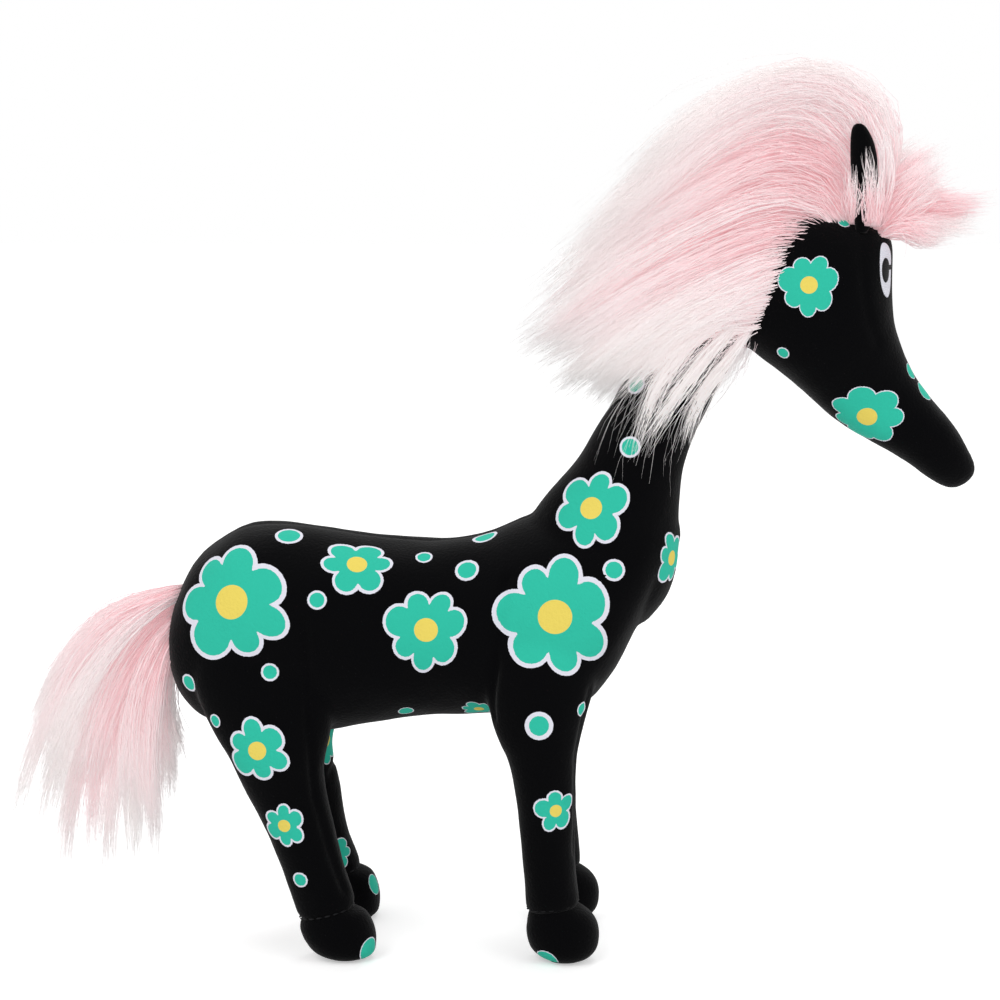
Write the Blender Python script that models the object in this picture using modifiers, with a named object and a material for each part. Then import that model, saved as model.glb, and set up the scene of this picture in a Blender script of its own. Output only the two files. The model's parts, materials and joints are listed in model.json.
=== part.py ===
"""A standing plush horse, 0.35 m tall: black printed fabric covers over stuffing.

Every limb ends in a rounded root that turns in a matching hollow of the piece that
carries it. Units are metres, +X is forward, +Z is up, and the floor is at zero height.
"""
import math

import bmesh
import bpy
import numpy as np
from mathutils import Matrix, Vector

# Fabric, stuffing and the clearances between pieces
cover_wall = 0.0025
fit_gap = 0.0003
joint_clearance = 0.0009
cut_overrun = 0.004
tip_inset_share = 0.9
block_size = 0.6
seam_gap = 0.0003

# Trunk
trunk_rear_x = -0.134
trunk_length = 0.205
belly_height = 0.087
trunk_depth = 0.083
trunk_half_width = 0.040
# rows: along the trunk, top, bottom, half width
trunk_shares = (
    (0.020, 0.70, 0.24, 0.42),
    (0.063, 0.87, 0.085, 0.68),
    (0.141, 0.99, 0.006, 0.88),
    (0.239, 1.02, -0.010, 0.97),
    (0.361, 0.99, 0.010, 0.94),
    (0.483, 0.96, 0.066, 0.86),
    (0.605, 0.98, 0.084, 0.88),
    (0.702, 1.05, 0.084, 0.95),
    (0.800, 1.00, 0.110, 0.95),
    (0.878, 0.935, 0.300, 0.86),
    (0.937, 0.870, 0.480, 0.68),
    (0.972, 0.790, 0.590, 0.42),
)
trunk_square_power = 2.3

# Neck, from its root in the trunk up to the ball inside the head
neck_root_forward = 0.175
neck_root_rise = 0.079
neck_root_radius = 0.031
neck_root_half_width = 0.028
neck_run = 0.067
neck_rise = 0.101
neck_lean = math.radians(19)
neck_ball_radius = 0.018
neck_ball_half_width = 0.016
neck_ball_lean = math.radians(51)
neck_square_power = 2.1
# rows: forward and up from the root, half depth and half width as shares of the root's
neck_shares = (
    (0.090, 0.198, 0.775, 0.800),
    (0.172, 0.327, 0.660, 0.695),
    (0.261, 0.446, 0.575, 0.615),
    (0.351, 0.559, 0.565, 0.580),
    (0.463, 0.673, 0.555, 0.570),
    (0.612, 0.792, 0.548, 0.565),
    (0.791, 0.901, 0.555, 0.565),
)

# Head, a wedge that runs down and forward from the poll to the nose
head_forward = 0.012
head_drop = 0.005
head_slope = math.radians(39.7)
head_rear = -0.034
head_length = 0.1315
head_half_depth = 0.0355
head_half_width = 0.027
head_square_power = 2.5
# rows: along the head, lower edge and upper edge in half depths, half width
head_shares = (
    (0.023, -0.17, 0.48, 0.37),
    (0.076, -0.48, 0.76, 0.67),
    (0.167, -0.73, 0.99, 0.90),
    (0.243, -0.87, 1.13, 1.00),
    (0.304, -0.83, 1.07, 1.00),
    (0.411, -0.75, 0.75, 0.945),
    (0.517, -0.68, 0.54, 0.80),
    (0.624, -0.60, 0.395, 0.67),
    (0.730, -0.465, 0.365, 0.575),
    (0.837, -0.307, 0.372, 0.51),
    (0.920, -0.217, 0.322, 0.425),
    (0.974, -0.113, 0.254, 0.28),
)
head_tip_shares = (0.14, 0.085)
gusset_seam_forward = 0.0205
gusset_seam_drop = 0.0095

# Legs: rows run down from the root's equator to the ankle
leg_spread = 0.029
leg_travel = math.radians(10)
leg_square_power = 2.2
hind_root_forward = 0.0436
hind_root_rise = 0.005
hind_root_radius = 0.0235
hind_root_half_width = 0.0160
hind_ankle_height = 0.0195
hind_ankle_forward = 0.0211
# rows: down to the ankle, forward to the ankle, half length, half width
hind_shares = (
    (0.16, 0.10, 0.790, 0.925),
    (0.27, 0.20, 0.711, 0.863),
    (0.49, 0.45, 0.617, 0.781),
    (0.72, 0.69, 0.532, 0.719),
    (0.94, 0.97, 0.489, 0.656),
    (1.00, 1.00, 0.438, 0.613),
)
front_root_forward = 0.1495
front_root_rise = 0.012
front_root_radius = 0.0195
front_root_half_width = 0.0155
front_ankle_height = 0.0215
front_ankle_forward = 0.0056
front_shares = (
    (0.14, 0.04, 0.810, 0.903),
    (0.23, 0.20, 0.697, 0.852),
    (0.44, 0.38, 0.610, 0.774),
    (0.65, 0.61, 0.549, 0.723),
    (0.86, 0.82, 0.528, 0.684),
    (1.00, 1.00, 0.513, 0.632),
)

# Hooves and their flat soles
hoof_half_length = 0.0143
hoof_half_width = 0.0135
hoof_forward = 0.0042
sole_thickness = 0.0022
sole_share = 0.74
# rows: down from the ankle to the sole, forward, size
hoof_shares = (
    (0.00, 0.00, 0.70),
    (0.28, 0.40, 0.90),
    (0.62, 0.90, 1.00),
    (0.88, 1.00, 0.97),
    (1.00, 1.05, 0.82),
)

# Ears
ear_spread = 0.0165
ear_forward = 0.020
ear_rise = 0.0258
ear_length = 0.042
ear_root_radius = 0.0042
ear_half_width = 0.0066
ear_half_thickness = 0.0050
ear_back_lean_share = 0.06
# rows: up the ear, half width, half thickness
ear_shares = (
    (0.20, 0.80, 0.95),
    (0.42, 1.00, 1.00),
    (0.66, 0.92, 0.85),
    (0.87, 0.66, 0.62),
)

# Eyes, two flat discs on each side of the forehead
eye_forward = 0.030
eye_rise = 0.0106
eye_side = 0.0135
eye_half_height = 0.0108
eye_half_width = 0.0068
eye_turn = math.radians(30)
eye_patch = 0.0008
pupil_share = 0.46

# Hair: flattened forms of long pile
hair_half_width = 0.0105
cage_swell_share = 1.108
hair_arc_radius = 0.045
head_swing_width = 0.040
mane_length = 0.133
mane_tip_back = 0.1035
mane_tip_drop = 0.0205
# rows: forward and up from the tip, half depth, in mane lengths, then lean in degrees and width
mane_shares = (
    (0.105, 0.045, 0.124, 35, 0.75),
    (0.250, 0.075, 0.235, 33, 1.0),
    (0.365, 0.220, 0.225, 36, 1.0),
    (0.455, 0.405, 0.185, 28, 1.0),
    (0.565, 0.520, 0.175, 8, 1.0),
    (0.710, 0.595, 0.175, -3, 1.0),
    (0.861, 0.613, 0.185, -3, 1.0),
    (0.945, 0.620, 0.140, -22, 0.85),
)
mane_end_shares = (1.000, 0.615)

forelock_back = 0.023
forelock_rise = 0.035
forelock_length = 0.0935
# rows: forward and up, half depth, in forelock lengths, then lean in degrees and width
forelock_shares = (
    (0.10, 0.010, 0.135, 0, 0.80),
    (0.27, 0.045, 0.085, 0, 0.95),
    (0.42, 0.015, 0.085, -20, 0.95),
    (0.57, 0.055, 0.178, -12, 1.00),
    (0.74, 0.035, 0.140, -4, 1.20),
    (0.88, 0.030, 0.085, 0, 0.90),
)
forelock_end_shares = (1.0, 0.030)

tail_root_forward = 0.003
tail_root_rise = 0.050
tail_root_radius = 0.010
tail_length = 0.102
# rows: back and down from the root, half depth, in tail lengths, then lean in degrees and width
tail_shares = (
    (0.108, 0.049, 0.108, 25.5, 1.00),
    (0.235, 0.206, 0.196, 48.7, 1.20),
    (0.294, 0.441, 0.255, 75.5, 1.35),
    (0.314, 0.676, 0.300, 87, 1.40),
    (0.324, 0.873, 0.265, 90, 1.20),
)
tail_end_shares = (0.305, 1.00)
tail_socket_flare = math.radians(35)

# The middle of the whole length stands over the origin
centre_shift = 0.00247

# Joints, and how many radii each hollow reaches out from its pivot
neck_travel = math.radians(9)
head_travel = math.radians(9)
ear_socket_flare = math.radians(35)
leg_hollow_reach = 2
neck_hollow_reach = 1.5
tail_hollow_reach = 2
head_hollow_reach = 2.5
ear_hollow_reach = 2

# Fineness of the forms
trunk_sides = 16
limb_sides = 12
hair_sides = 8
ear_sides = 8
ring_steps = 1
ball_angles = (66, 42, 20)
socket_sides = 16
swing_sides = 64
round_power = 2

up = Vector((0, 0, 1))
forward = Vector((1, 0, 0))
sideways = Vector((0, 1, 0))


def clear_scene():
    for old in list(bpy.data.objects):
        bpy.data.objects.remove(old)


def new_collection(name):
    made = bpy.data.collections.new(name)
    bpy.context.scene.collection.children.link(made)
    return made


def make_material(name, colour, roughness):
    made = bpy.data.materials.new(name)
    made.use_nodes = True
    shader = made.node_tree.nodes["Principled BSDF"]
    shader.inputs["Base Color"].default_value = (*colour, 1)
    shader.inputs["Roughness"].default_value = roughness
    shader.inputs["Metallic"].default_value = 0
    return made


clear_scene()
horse = new_collection("plush_horse")
cutters = new_collection("cutters")
black_fabric = make_material("black_printed_fabric", (0.006, 0.006, 0.008), 0.9)
black_felt = make_material("black_hoof_fabric", (0.004, 0.004, 0.005), 0.95)
white_fill = make_material("white_stuffing", (0.85, 0.85, 0.83), 1.0)
pink_hair = make_material("pink_pile", (0.87, 0.45, 0.50), 0.8)
white_thread = make_material("white_thread", (0.88, 0.88, 0.88), 0.6)
black_thread = make_material("black_thread", (0.01, 0.01, 0.01), 0.6)


def pivot_empty(name, place, parent=None):
    """An empty on a joint's axis, which the moving pieces hang from."""
    made = bpy.data.objects.new(name, None)
    horse.objects.link(made)
    made.location = place - (parent["place"] if parent else Vector())
    made.parent = parent["empty"] if parent else None
    return {"empty": made, "place": place}


def ring(centre, along, half_depth, half_width, power, sides, inset=0):
    """Points of a rounded section that stands square to the direction along."""
    across = sideways.cross(along).normalized()
    points = []
    for index in range(sides):
        angle = 2 * math.pi * (index + 0.5) / sides
        depth_part = math.copysign(abs(math.cos(angle)) ** (2 / power), math.cos(angle))
        width_part = math.copysign(abs(math.sin(angle)) ** (2 / power), math.sin(angle))
        points.append(centre + across * (half_depth - inset) * depth_part
                      + sideways * (half_width - inset) * width_part)
    return points


def root_rings(centre, outward, radius, half_width, sides, inset=0):
    """Rings of a rounded end, from its far tip up to its widest section."""
    made = []
    for degrees in (*ball_angles, 0):
        angle = math.radians(degrees)
        made.append(ring(centre - outward * (radius - inset) * math.sin(angle), outward,
                         (radius - inset) * math.cos(angle),
                         (half_width - inset) * math.cos(angle), round_power, sides))
    return made


def skin_rings(name, rings, start_tip, end_tip):
    """A closed mesh through the rings, drawn to a point at each end."""
    mesh = bpy.data.meshes.new(name)
    work = bmesh.new()
    rows = [[work.verts.new(point) for point in points] for points in rings]
    sides = len(rows[0])
    first = work.verts.new(start_tip)
    last = work.verts.new(end_tip)
    for index in range(sides):
        after = (index + 1) % sides
        work.faces.new((first, rows[0][after], rows[0][index]))
        work.faces.new((last, rows[-1][index], rows[-1][after]))
        for low, high in zip(rows[:-1], rows[1:]):
            work.faces.new((low[index], low[after], high[after]))
            work.faces.new((low[index], high[after], high[index]))
    bmesh.ops.recalc_face_normals(work, faces=work.faces)
    work.to_mesh(mesh)
    work.free()
    return mesh


def smooth_rows(rows, steps):
    """Extra rows between the given ones, on a smooth curve through all of them."""
    table = np.array(rows, dtype=float)
    padded = np.vstack((2 * table[0] - table[1], table, 2 * table[-1] - table[-2]))
    made = []
    for index in range(1, len(padded) - 2):
        before, start, end, after = padded[index - 1:index + 3]
        for step in range(steps):
            part = step / steps
            made.append(0.5 * (2 * start + (end - before) * part
                               + (2 * before - 5 * start + 4 * end - after) * part ** 2
                               + (3 * start - before - 3 * end + after) * part ** 3))
    made.append(table[-1])
    return made


def place_mesh(name, mesh, body, material):
    """Add a piece whose origin is on the pivot that it hangs from."""
    mesh.transform(Matrix.Translation(-body["place"]))
    made = bpy.data.objects.new(name, mesh)
    made.parent = body["empty"]
    horse.objects.link(made)
    mesh.materials.append(material)
    mesh.shade_smooth()
    return made


def place_cutter(name, mesh):
    made = bpy.data.objects.new(name, mesh)
    made.parent = trunk_body["empty"]
    made.location = -trunk_body["place"]
    made.hide_render = True
    made.display_type = "WIRE"
    cutters.objects.link(made)
    return made


def boolean(target, cutter, operation="DIFFERENCE"):
    step = target.modifiers.new(cutter.name, "BOOLEAN")
    step.operation = operation
    step.solver = "EXACT"
    step.object = cutter


def block(name, low, high):
    """A box cutter between two corners."""
    bpy.ops.mesh.primitive_cube_add(size=1)
    made = bpy.context.active_object
    mesh = made.data
    size = high - low
    mesh.transform(Matrix.Translation((low + high) / 2) @ Matrix.Diagonal((*size, 1)))
    bpy.data.objects.remove(made)
    return place_cutter(name, mesh)


def socket_cutter(name, pivot, radius, half_width, outward, flare, length, side_flare=0):
    """A rounded hollow that widens outward, so that a limb can turn in it."""
    radius = radius + joint_clearance
    half_width = half_width + joint_clearance
    rings = root_rings(pivot, outward, radius, half_width, socket_sides)
    rings.append(ring(pivot + outward * length, outward,
                      radius + length * math.tan(flare),
                      half_width + length * math.tan(side_flare), round_power,
                      socket_sides))
    mesh = skin_rings(name, rings, pivot - outward * radius, pivot + outward * length)
    return place_cutter(name, mesh)


def trunk_mesh(name, inset=0):
    sections = []
    for along, top, bottom, width in smooth_rows(trunk_shares, ring_steps):
        middle = belly_height + trunk_depth * (top + bottom) / 2
        centre = Vector((trunk_rear_x + trunk_length * along, 0, middle))
        half_depth = trunk_depth * (top - bottom) / 2
        sections.append(ring(centre, forward, half_depth, trunk_half_width * width,
                             trunk_square_power, trunk_sides, inset))
    ends = []
    for row, x, direction in ((trunk_shares[0], trunk_rear_x, 1),
                              (trunk_shares[-1], trunk_rear_x + trunk_length, -1)):
        middle = belly_height + trunk_depth * (row[1] + row[2]) / 2
        ends.append(Vector((x + direction * inset * tip_inset_share, 0, middle)))
    return skin_rings(name, sections, *ends)


def neck_mesh(name, inset=0):
    lean_start = Vector((math.sin(neck_lean), 0, math.cos(neck_lean)))
    lean_end = Vector((math.sin(neck_ball_lean), 0, math.cos(neck_ball_lean)))
    sections = root_rings(neck_root, lean_start, neck_root_radius, neck_root_half_width,
                          limb_sides, inset)
    rows = ((0, 0, 1, 1), *neck_shares, (1, 1, 1, 1))
    centres = [neck_root + Vector((neck_run * row[0], 0, neck_rise * row[1])) for row in rows]
    for index in range(1, len(rows) - 1):
        along = (centres[index + 1] - centres[index - 1]).normalized()
        sections.append(ring(centres[index], along, neck_root_radius * rows[index][2],
                             neck_root_half_width * rows[index][3], neck_square_power,
                             limb_sides, inset))
    top_rings = root_rings(neck_top, -lean_end, neck_ball_radius, neck_ball_half_width,
                           limb_sides, inset)
    # the ball's rings face the other way, so their points are matched to the neck's
    for points in reversed(top_rings):
        sections.append([points[limb_sides // 2 - 1 - index] for index in range(limb_sides)])
    start = neck_root - lean_start * (neck_root_radius - inset)
    end = neck_top + lean_end * (neck_ball_radius - inset)
    return skin_rings(name, sections, start, end)


def head_place(along_share, height_share):
    """A point of the head's middle plane, from its length and half depth."""
    run = head_rear + head_length * along_share
    return head_centre + head_along * run + head_across * head_half_depth * height_share


def head_mesh(name, inset=0):
    sections = []
    for along, low, high, width in smooth_rows(head_shares, ring_steps):
        half_depth = head_half_depth * (high - low) / 2
        sections.append(ring(head_place(along, (high + low) / 2), head_along, half_depth,
                             head_half_width * width, head_square_power, trunk_sides, inset))
    start = head_place(0, head_tip_shares[0]) + head_along * inset * tip_inset_share
    end = head_place(1, head_tip_shares[1]) - head_along * inset * tip_inset_share
    return skin_rings(name, sections, start, end)


def leg_sections(limb, inset, extra=0):
    """Level rings of a leg, from the top of its root down to the ankle."""
    sections = root_rings(limb["pivot"], -up, limb["radius"], limb["half_width"],
                          limb_sides, inset)
    for drop, run, length, width in limb["shares"]:
        centre = limb["pivot"].lerp(limb["ankle"], drop)
        centre.x = limb["pivot"].x + (limb["ankle"].x - limb["pivot"].x) * run
        sections.append(ring(centre, -up, limb["radius"] * length,
                             limb["half_width"] * width, leg_square_power, limb_sides,
                             inset))
    if extra:
        sections.append([point - up * extra for point in sections[-1]])
    return sections


def leg_mesh(name, limb, inset=0, extra=0):
    sections = leg_sections(limb, inset, extra)
    start = limb["pivot"] + up * (limb["radius"] - inset)
    end = sum(sections[-1], Vector()) / limb_sides
    return skin_rings(name, sections, start, end)


def hair_sections(start, length, rows, run_sign=1, rise_sign=1):
    """Rings of a hair form, each with its long side leaning back by the row's degrees."""
    made = []
    for run, rise, half_share, lean, width in rows:
        centre = start + length * Vector((run_sign * run, 0, rise_sign * rise))
        tilt = math.radians(lean)
        along = Vector((math.cos(tilt), 0, math.sin(tilt)))
        made.append(ring(centre, along, length * half_share * cage_swell_share,
                         hair_half_width * width * cage_swell_share, round_power,
                         hair_sides))
    return made


def add_subdivision(piece, levels):
    step = piece.modifiers.new("rounding", "SUBSURF")
    step.levels = levels
    step.render_levels = levels


# The places that more than one piece shares
trunk_rear = Vector((trunk_rear_x, 0, belly_height))
neck_root = trunk_rear + Vector((neck_root_forward, 0, neck_root_rise))
neck_top = neck_root + Vector((neck_run, 0, neck_rise))
head_centre = neck_top + Vector((head_forward, 0, -head_drop))
head_along = Vector((math.sin(head_slope), 0, -math.cos(head_slope)))
head_across = Vector((math.cos(head_slope), 0, math.sin(head_slope)))
tail_root = trunk_rear + Vector((tail_root_forward, 0, tail_root_rise))

trunk_body = pivot_empty("trunk_origin", Vector())
neck_body = pivot_empty("neck_pivot", neck_root, trunk_body)
head_body = pivot_empty("head_pivot", neck_top, neck_body)
tail_body = pivot_empty("tail_pivot", tail_root, trunk_body)
trunk_body["empty"].location = Vector((centre_shift, 0, 0))

limbs = []
for pair, side_name, side in (("hind", "right", -1), ("hind", "left", 1),
                              ("front", "right", -1), ("front", "left", 1)):
    hind = pair == "hind"
    pivot = trunk_rear + Vector((hind_root_forward if hind else front_root_forward,
                                 side * leg_spread,
                                 hind_root_rise if hind else front_root_rise))
    ankle = Vector((pivot.x + (hind_ankle_forward if hind else front_ankle_forward),
                    side * leg_spread,
                    hind_ankle_height if hind else front_ankle_height))
    limbs.append({
        "name": f"{pair}_{side_name}",
        "side": side,
        "pivot": pivot,
        "ankle": ankle,
        "radius": hind_root_radius if hind else front_root_radius,
        "half_width": hind_root_half_width if hind else front_root_half_width,
        "shares": hind_shares if hind else front_shares,
        "body": pivot_empty(f"{pair}_{side_name}_leg_pivot", pivot, trunk_body),
    })

# Hollows that the limbs, the neck, the tail and the ears turn in
trunk_sockets = []
for limb in limbs:
    trunk_sockets.append(socket_cutter(f"{limb['name']}_leg_hollow", limb["pivot"],
                                       limb["radius"], limb["half_width"], -up,
                                       leg_travel, limb["radius"] * leg_hollow_reach))
neck_direction = Vector((math.sin(neck_lean), 0, math.cos(neck_lean)))
trunk_sockets.append(socket_cutter("neck_hollow", neck_root, neck_root_radius,
                                   neck_root_half_width, neck_direction, neck_travel,
                                   neck_root_radius * neck_hollow_reach))
trunk_sockets.append(socket_cutter("tail_hollow", tail_root, tail_root_radius,
                                   tail_root_radius, -forward, tail_socket_flare,
                                   tail_root_radius * tail_hollow_reach))
ball_direction = Vector((math.sin(neck_ball_lean), 0, math.cos(neck_ball_lean)))
head_sockets = [socket_cutter("head_hollow", neck_top, neck_ball_radius,
                              neck_ball_half_width, -ball_direction, head_travel,
                              neck_ball_radius * head_hollow_reach)]
ears = []
for side_name, side in (("right", -1), ("left", 1)):
    pivot = head_centre + Vector((ear_forward, side * ear_spread, ear_rise))
    ears.append({"name": side_name, "pivot": pivot,
                 "body": pivot_empty(f"{side_name}_ear_pivot", pivot, head_body)})
    head_sockets.append(socket_cutter(f"{side_name}_ear_hollow", pivot, ear_root_radius,
                                      ear_root_radius, up, ear_socket_flare,
                                      ear_root_radius * ear_hollow_reach, ear_socket_flare))


def side_block(name, side, middle=0.0):
    """A cutter for all that lies beyond the seam plane, on the other side of it."""
    edge = middle + side * seam_gap / 2
    low = Vector((-block_size, min(edge, edge - side * block_size), -block_size))
    high = Vector((block_size, max(edge, edge - side * block_size), block_size))
    return block(name, low, high)


def padded_form(prefix, shape, body, sockets):
    """Right and left covers with their stuffing, all from one outline."""
    inner = place_cutter(f"{prefix}_cover_inside", shape(f"{prefix}_cover_inside", cover_wall))
    for side_name, side in (("right", -1), ("left", 1)):
        name = f"{prefix}_cover_{side_name}"
        cover = place_mesh(name, shape(name), body, black_fabric)
        boolean(cover, inner)
        boolean(cover, side_block(f"{name}_seam", side))
        for socket in sockets:
            boolean(cover, socket)
    name = f"{prefix}_stuffing"
    filling = place_mesh(name, shape(name, cover_wall + fit_gap), body, white_fill)
    for socket in sockets:
        boolean(filling, socket)


padded_form("trunk", trunk_mesh, trunk_body, trunk_sockets)
padded_form("neck", neck_mesh, neck_body, ())

# Head: two side covers and a forehead gusset between them
head_inside = place_cutter("head_cover_inside", head_mesh("head_cover_inside", cover_wall))
gusset_low = head_centre + Vector((gusset_seam_forward, -block_size, -gusset_seam_drop))
gusset_high = head_centre + Vector((block_size, block_size, block_size))
gusset_space = block("gusset_space", gusset_low, gusset_high)
gusset_trim = block("gusset_trim", gusset_low + Vector((seam_gap, 0, seam_gap)), gusset_high)
for side_name, side in (("right", -1), ("left", 1)):
    name = f"head_cover_{side_name}"
    cover = place_mesh(name, head_mesh(name), head_body, black_fabric)
    boolean(cover, head_inside)
    boolean(cover, side_block(f"{name}_seam", side))
    boolean(cover, gusset_space)
    for socket in head_sockets:
        boolean(cover, socket)
gusset = place_mesh("forehead_gusset", head_mesh("forehead_gusset"), head_body, black_fabric)
boolean(gusset, head_inside)
boolean(gusset, gusset_trim, "INTERSECT")
for socket in head_sockets[1:]:
    boolean(gusset, socket)
head_filling = place_mesh("head_stuffing", head_mesh("head_stuffing", cover_wall + fit_gap),
                          head_body, white_fill)
for socket in head_sockets:
    boolean(head_filling, socket)


def eye_disc(name, eye_centre, eye_axis, share, under, over, material):
    """A disc of thread that follows the forehead, between two depths of the fabric."""
    half_length = eye_half_height
    rings = []
    for end in (-1, 1):
        rings.append(ring(eye_centre + eye_axis * half_length * end, eye_axis,
                          eye_half_height * share, eye_half_width * share, round_power,
                          trunk_sides))
    mesh = skin_rings(name, rings, eye_centre - eye_axis * half_length,
                      eye_centre + eye_axis * half_length)
    disc = place_mesh(name, mesh, head_body, material)
    boolean(disc, over, "INTERSECT")
    boolean(disc, under)


fabric_layers = []
for depth in (fit_gap, fit_gap + eye_patch, 2 * fit_gap + eye_patch,
              2 * fit_gap + 2 * eye_patch):
    name = f"forehead_layer_{len(fabric_layers)}"
    fabric_layers.append(place_cutter(name, head_mesh(name, -depth)))
for side_name, side in (("right", -1), ("left", 1)):
    turned = Vector((math.cos(eye_turn), side * math.sin(eye_turn), 0))
    middle = head_centre + Vector((eye_forward, side * eye_side, eye_rise))
    eye_disc(f"{side_name}_eye_white", middle, turned, 1, *fabric_layers[:2], white_thread)
    eye_disc(f"{side_name}_pupil", middle, turned, pupil_share, *fabric_layers[2:],
             black_thread)

# Legs, each with an outer and an inner cover, its stuffing, a hoof and a sole
for limb in limbs:
    name = limb["name"]
    body = limb["body"]
    inside_name = f"{name}_leg_inside"
    inside = place_cutter(inside_name, leg_mesh(inside_name, limb, cover_wall, cut_overrun))
    for part_name, side in (("outer", limb["side"]), ("inner", -limb["side"])):
        cover_name = f"{name}_leg_cover_{part_name}"
        cover = place_mesh(cover_name, leg_mesh(cover_name, limb), body, black_fabric)
        boolean(cover, inside)
        boolean(cover, side_block(f"{cover_name}_seam", side, limb["pivot"].y))
    filling_name = f"{name}_leg_stuffing"
    place_mesh(filling_name, leg_mesh(filling_name, limb, cover_wall + fit_gap), body,
               white_fill)

    top = limb["ankle"] - up * fit_gap
    drop = top.z - sole_thickness - fit_gap
    rings = []
    for down_share, forward_share, size in hoof_shares:
        centre = top - up * drop * down_share + forward * hoof_forward * forward_share
        rings.append(ring(centre, -up, hoof_half_length * size, hoof_half_width * size,
                          leg_square_power, limb_sides))
    hoof_end = top - up * drop + forward * hoof_forward * hoof_shares[-1][1]
    hoof_name = f"{name}_hoof"
    place_mesh(hoof_name, skin_rings(hoof_name, rings, top, hoof_end), body, black_felt)

    sole_top = hoof_end - up * fit_gap
    sole_end = sole_top - up * sole_thickness
    rings = [ring(place, -up, hoof_half_length * sole_share, hoof_half_width * sole_share,
                  leg_square_power, limb_sides) for place in (sole_top, sole_end)]
    sole_name = f"{name}_sole"
    place_mesh(sole_name, skin_rings(sole_name, rings, sole_top, sole_end), body, black_felt)

# Ears, narrow upright leaves on round roots
for ear in ears:
    pivot = ear["pivot"]
    rings = root_rings(pivot, up, ear_root_radius, ear_root_radius, ear_sides)
    for rise, width, thickness in ear_shares:
        lean = Vector((-ear_length * ear_back_lean_share * rise, 0, ear_length * rise))
        rings.append(ring(pivot + lean, up, ear_half_width * width,
                          ear_half_thickness * thickness, round_power, ear_sides))
    tip = pivot + Vector((-ear_length * ear_back_lean_share, 0, ear_length))
    name = f"{ear['name']}_ear"
    place_mesh(name, skin_rings(name, rings, pivot - up * ear_root_radius, tip), ear["body"],
               black_fabric)

# Hair: the mane on the crest of the neck, the forelock on the head, and the tail
mane_start = neck_top - Vector((mane_tip_back, 0, mane_tip_drop))
mane_end = mane_start + mane_length * Vector((mane_end_shares[0], 0, mane_end_shares[1]))
mane = place_mesh("mane", skin_rings("mane", hair_sections(mane_start, mane_length,
                                                           mane_shares),
                                     mane_start, mane_end), neck_body, pink_hair)
add_subdivision(mane, 1)
boolean(mane, place_cutter("neck_outside", neck_mesh("neck_outside", -fit_gap)))
bpy.ops.mesh.primitive_cylinder_add(vertices=swing_sides,
                                    radius=hair_arc_radius + joint_clearance,
                                    depth=head_swing_width)
swing = bpy.context.active_object
swing_mesh = swing.data
swing_mesh.transform(Matrix.Translation(neck_top) @ Matrix.Rotation(math.pi / 2, 4, "X"))
bpy.data.objects.remove(swing)
boolean(mane, place_cutter("head_swing", swing_mesh))

forelock_start = head_centre + Vector((-forelock_back, 0, forelock_rise))
forelock_end = forelock_start + forelock_length * Vector((forelock_end_shares[0], 0,
                                                          forelock_end_shares[1]))
forelock = place_mesh("forelock", skin_rings("forelock",
                                             hair_sections(forelock_start, forelock_length,
                                                           forelock_shares),
                                             forelock_start, forelock_end),
                      head_body, pink_hair)
add_subdivision(forelock, 1)
boolean(forelock, fabric_layers[-1])

tail_rings = root_rings(tail_root, -forward, tail_root_radius, tail_root_radius,
                        hair_sides)
tail_rings.extend(hair_sections(tail_root, tail_length, tail_shares, -1, -1))
tail_end = tail_root - tail_length * Vector((tail_end_shares[0], 0, tail_end_shares[1]))
tail = place_mesh("tail", skin_rings("tail", tail_rings,
                                     tail_root + forward * tail_root_radius, tail_end),
                  tail_body, pink_hair)
add_subdivision(tail, 1)
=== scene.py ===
"""A plush horse in black printed fabric with a pink pile mane, on a pale floor."""
import json
import math

import bpy
import numpy as np
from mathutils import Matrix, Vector
from mathutils.bvhtree import BVHTree


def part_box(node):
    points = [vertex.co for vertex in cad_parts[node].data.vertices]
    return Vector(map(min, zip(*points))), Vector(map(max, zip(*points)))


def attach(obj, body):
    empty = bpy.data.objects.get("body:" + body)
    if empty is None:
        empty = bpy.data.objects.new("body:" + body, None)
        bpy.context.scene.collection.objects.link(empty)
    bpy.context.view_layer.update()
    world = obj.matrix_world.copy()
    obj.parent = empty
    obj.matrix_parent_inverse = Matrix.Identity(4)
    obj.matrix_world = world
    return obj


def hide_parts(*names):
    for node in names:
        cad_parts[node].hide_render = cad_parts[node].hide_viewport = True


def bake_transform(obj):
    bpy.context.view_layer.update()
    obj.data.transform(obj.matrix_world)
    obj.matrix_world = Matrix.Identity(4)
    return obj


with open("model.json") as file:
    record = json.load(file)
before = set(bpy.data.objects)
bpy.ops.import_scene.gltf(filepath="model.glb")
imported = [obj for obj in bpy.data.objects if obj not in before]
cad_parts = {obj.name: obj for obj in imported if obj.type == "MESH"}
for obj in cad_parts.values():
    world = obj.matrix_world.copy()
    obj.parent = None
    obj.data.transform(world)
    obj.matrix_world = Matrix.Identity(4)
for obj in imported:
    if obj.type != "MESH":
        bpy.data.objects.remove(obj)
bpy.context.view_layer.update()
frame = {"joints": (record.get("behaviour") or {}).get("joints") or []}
joints = {joint["name"]: joint for joint in frame["joints"]}

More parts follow.
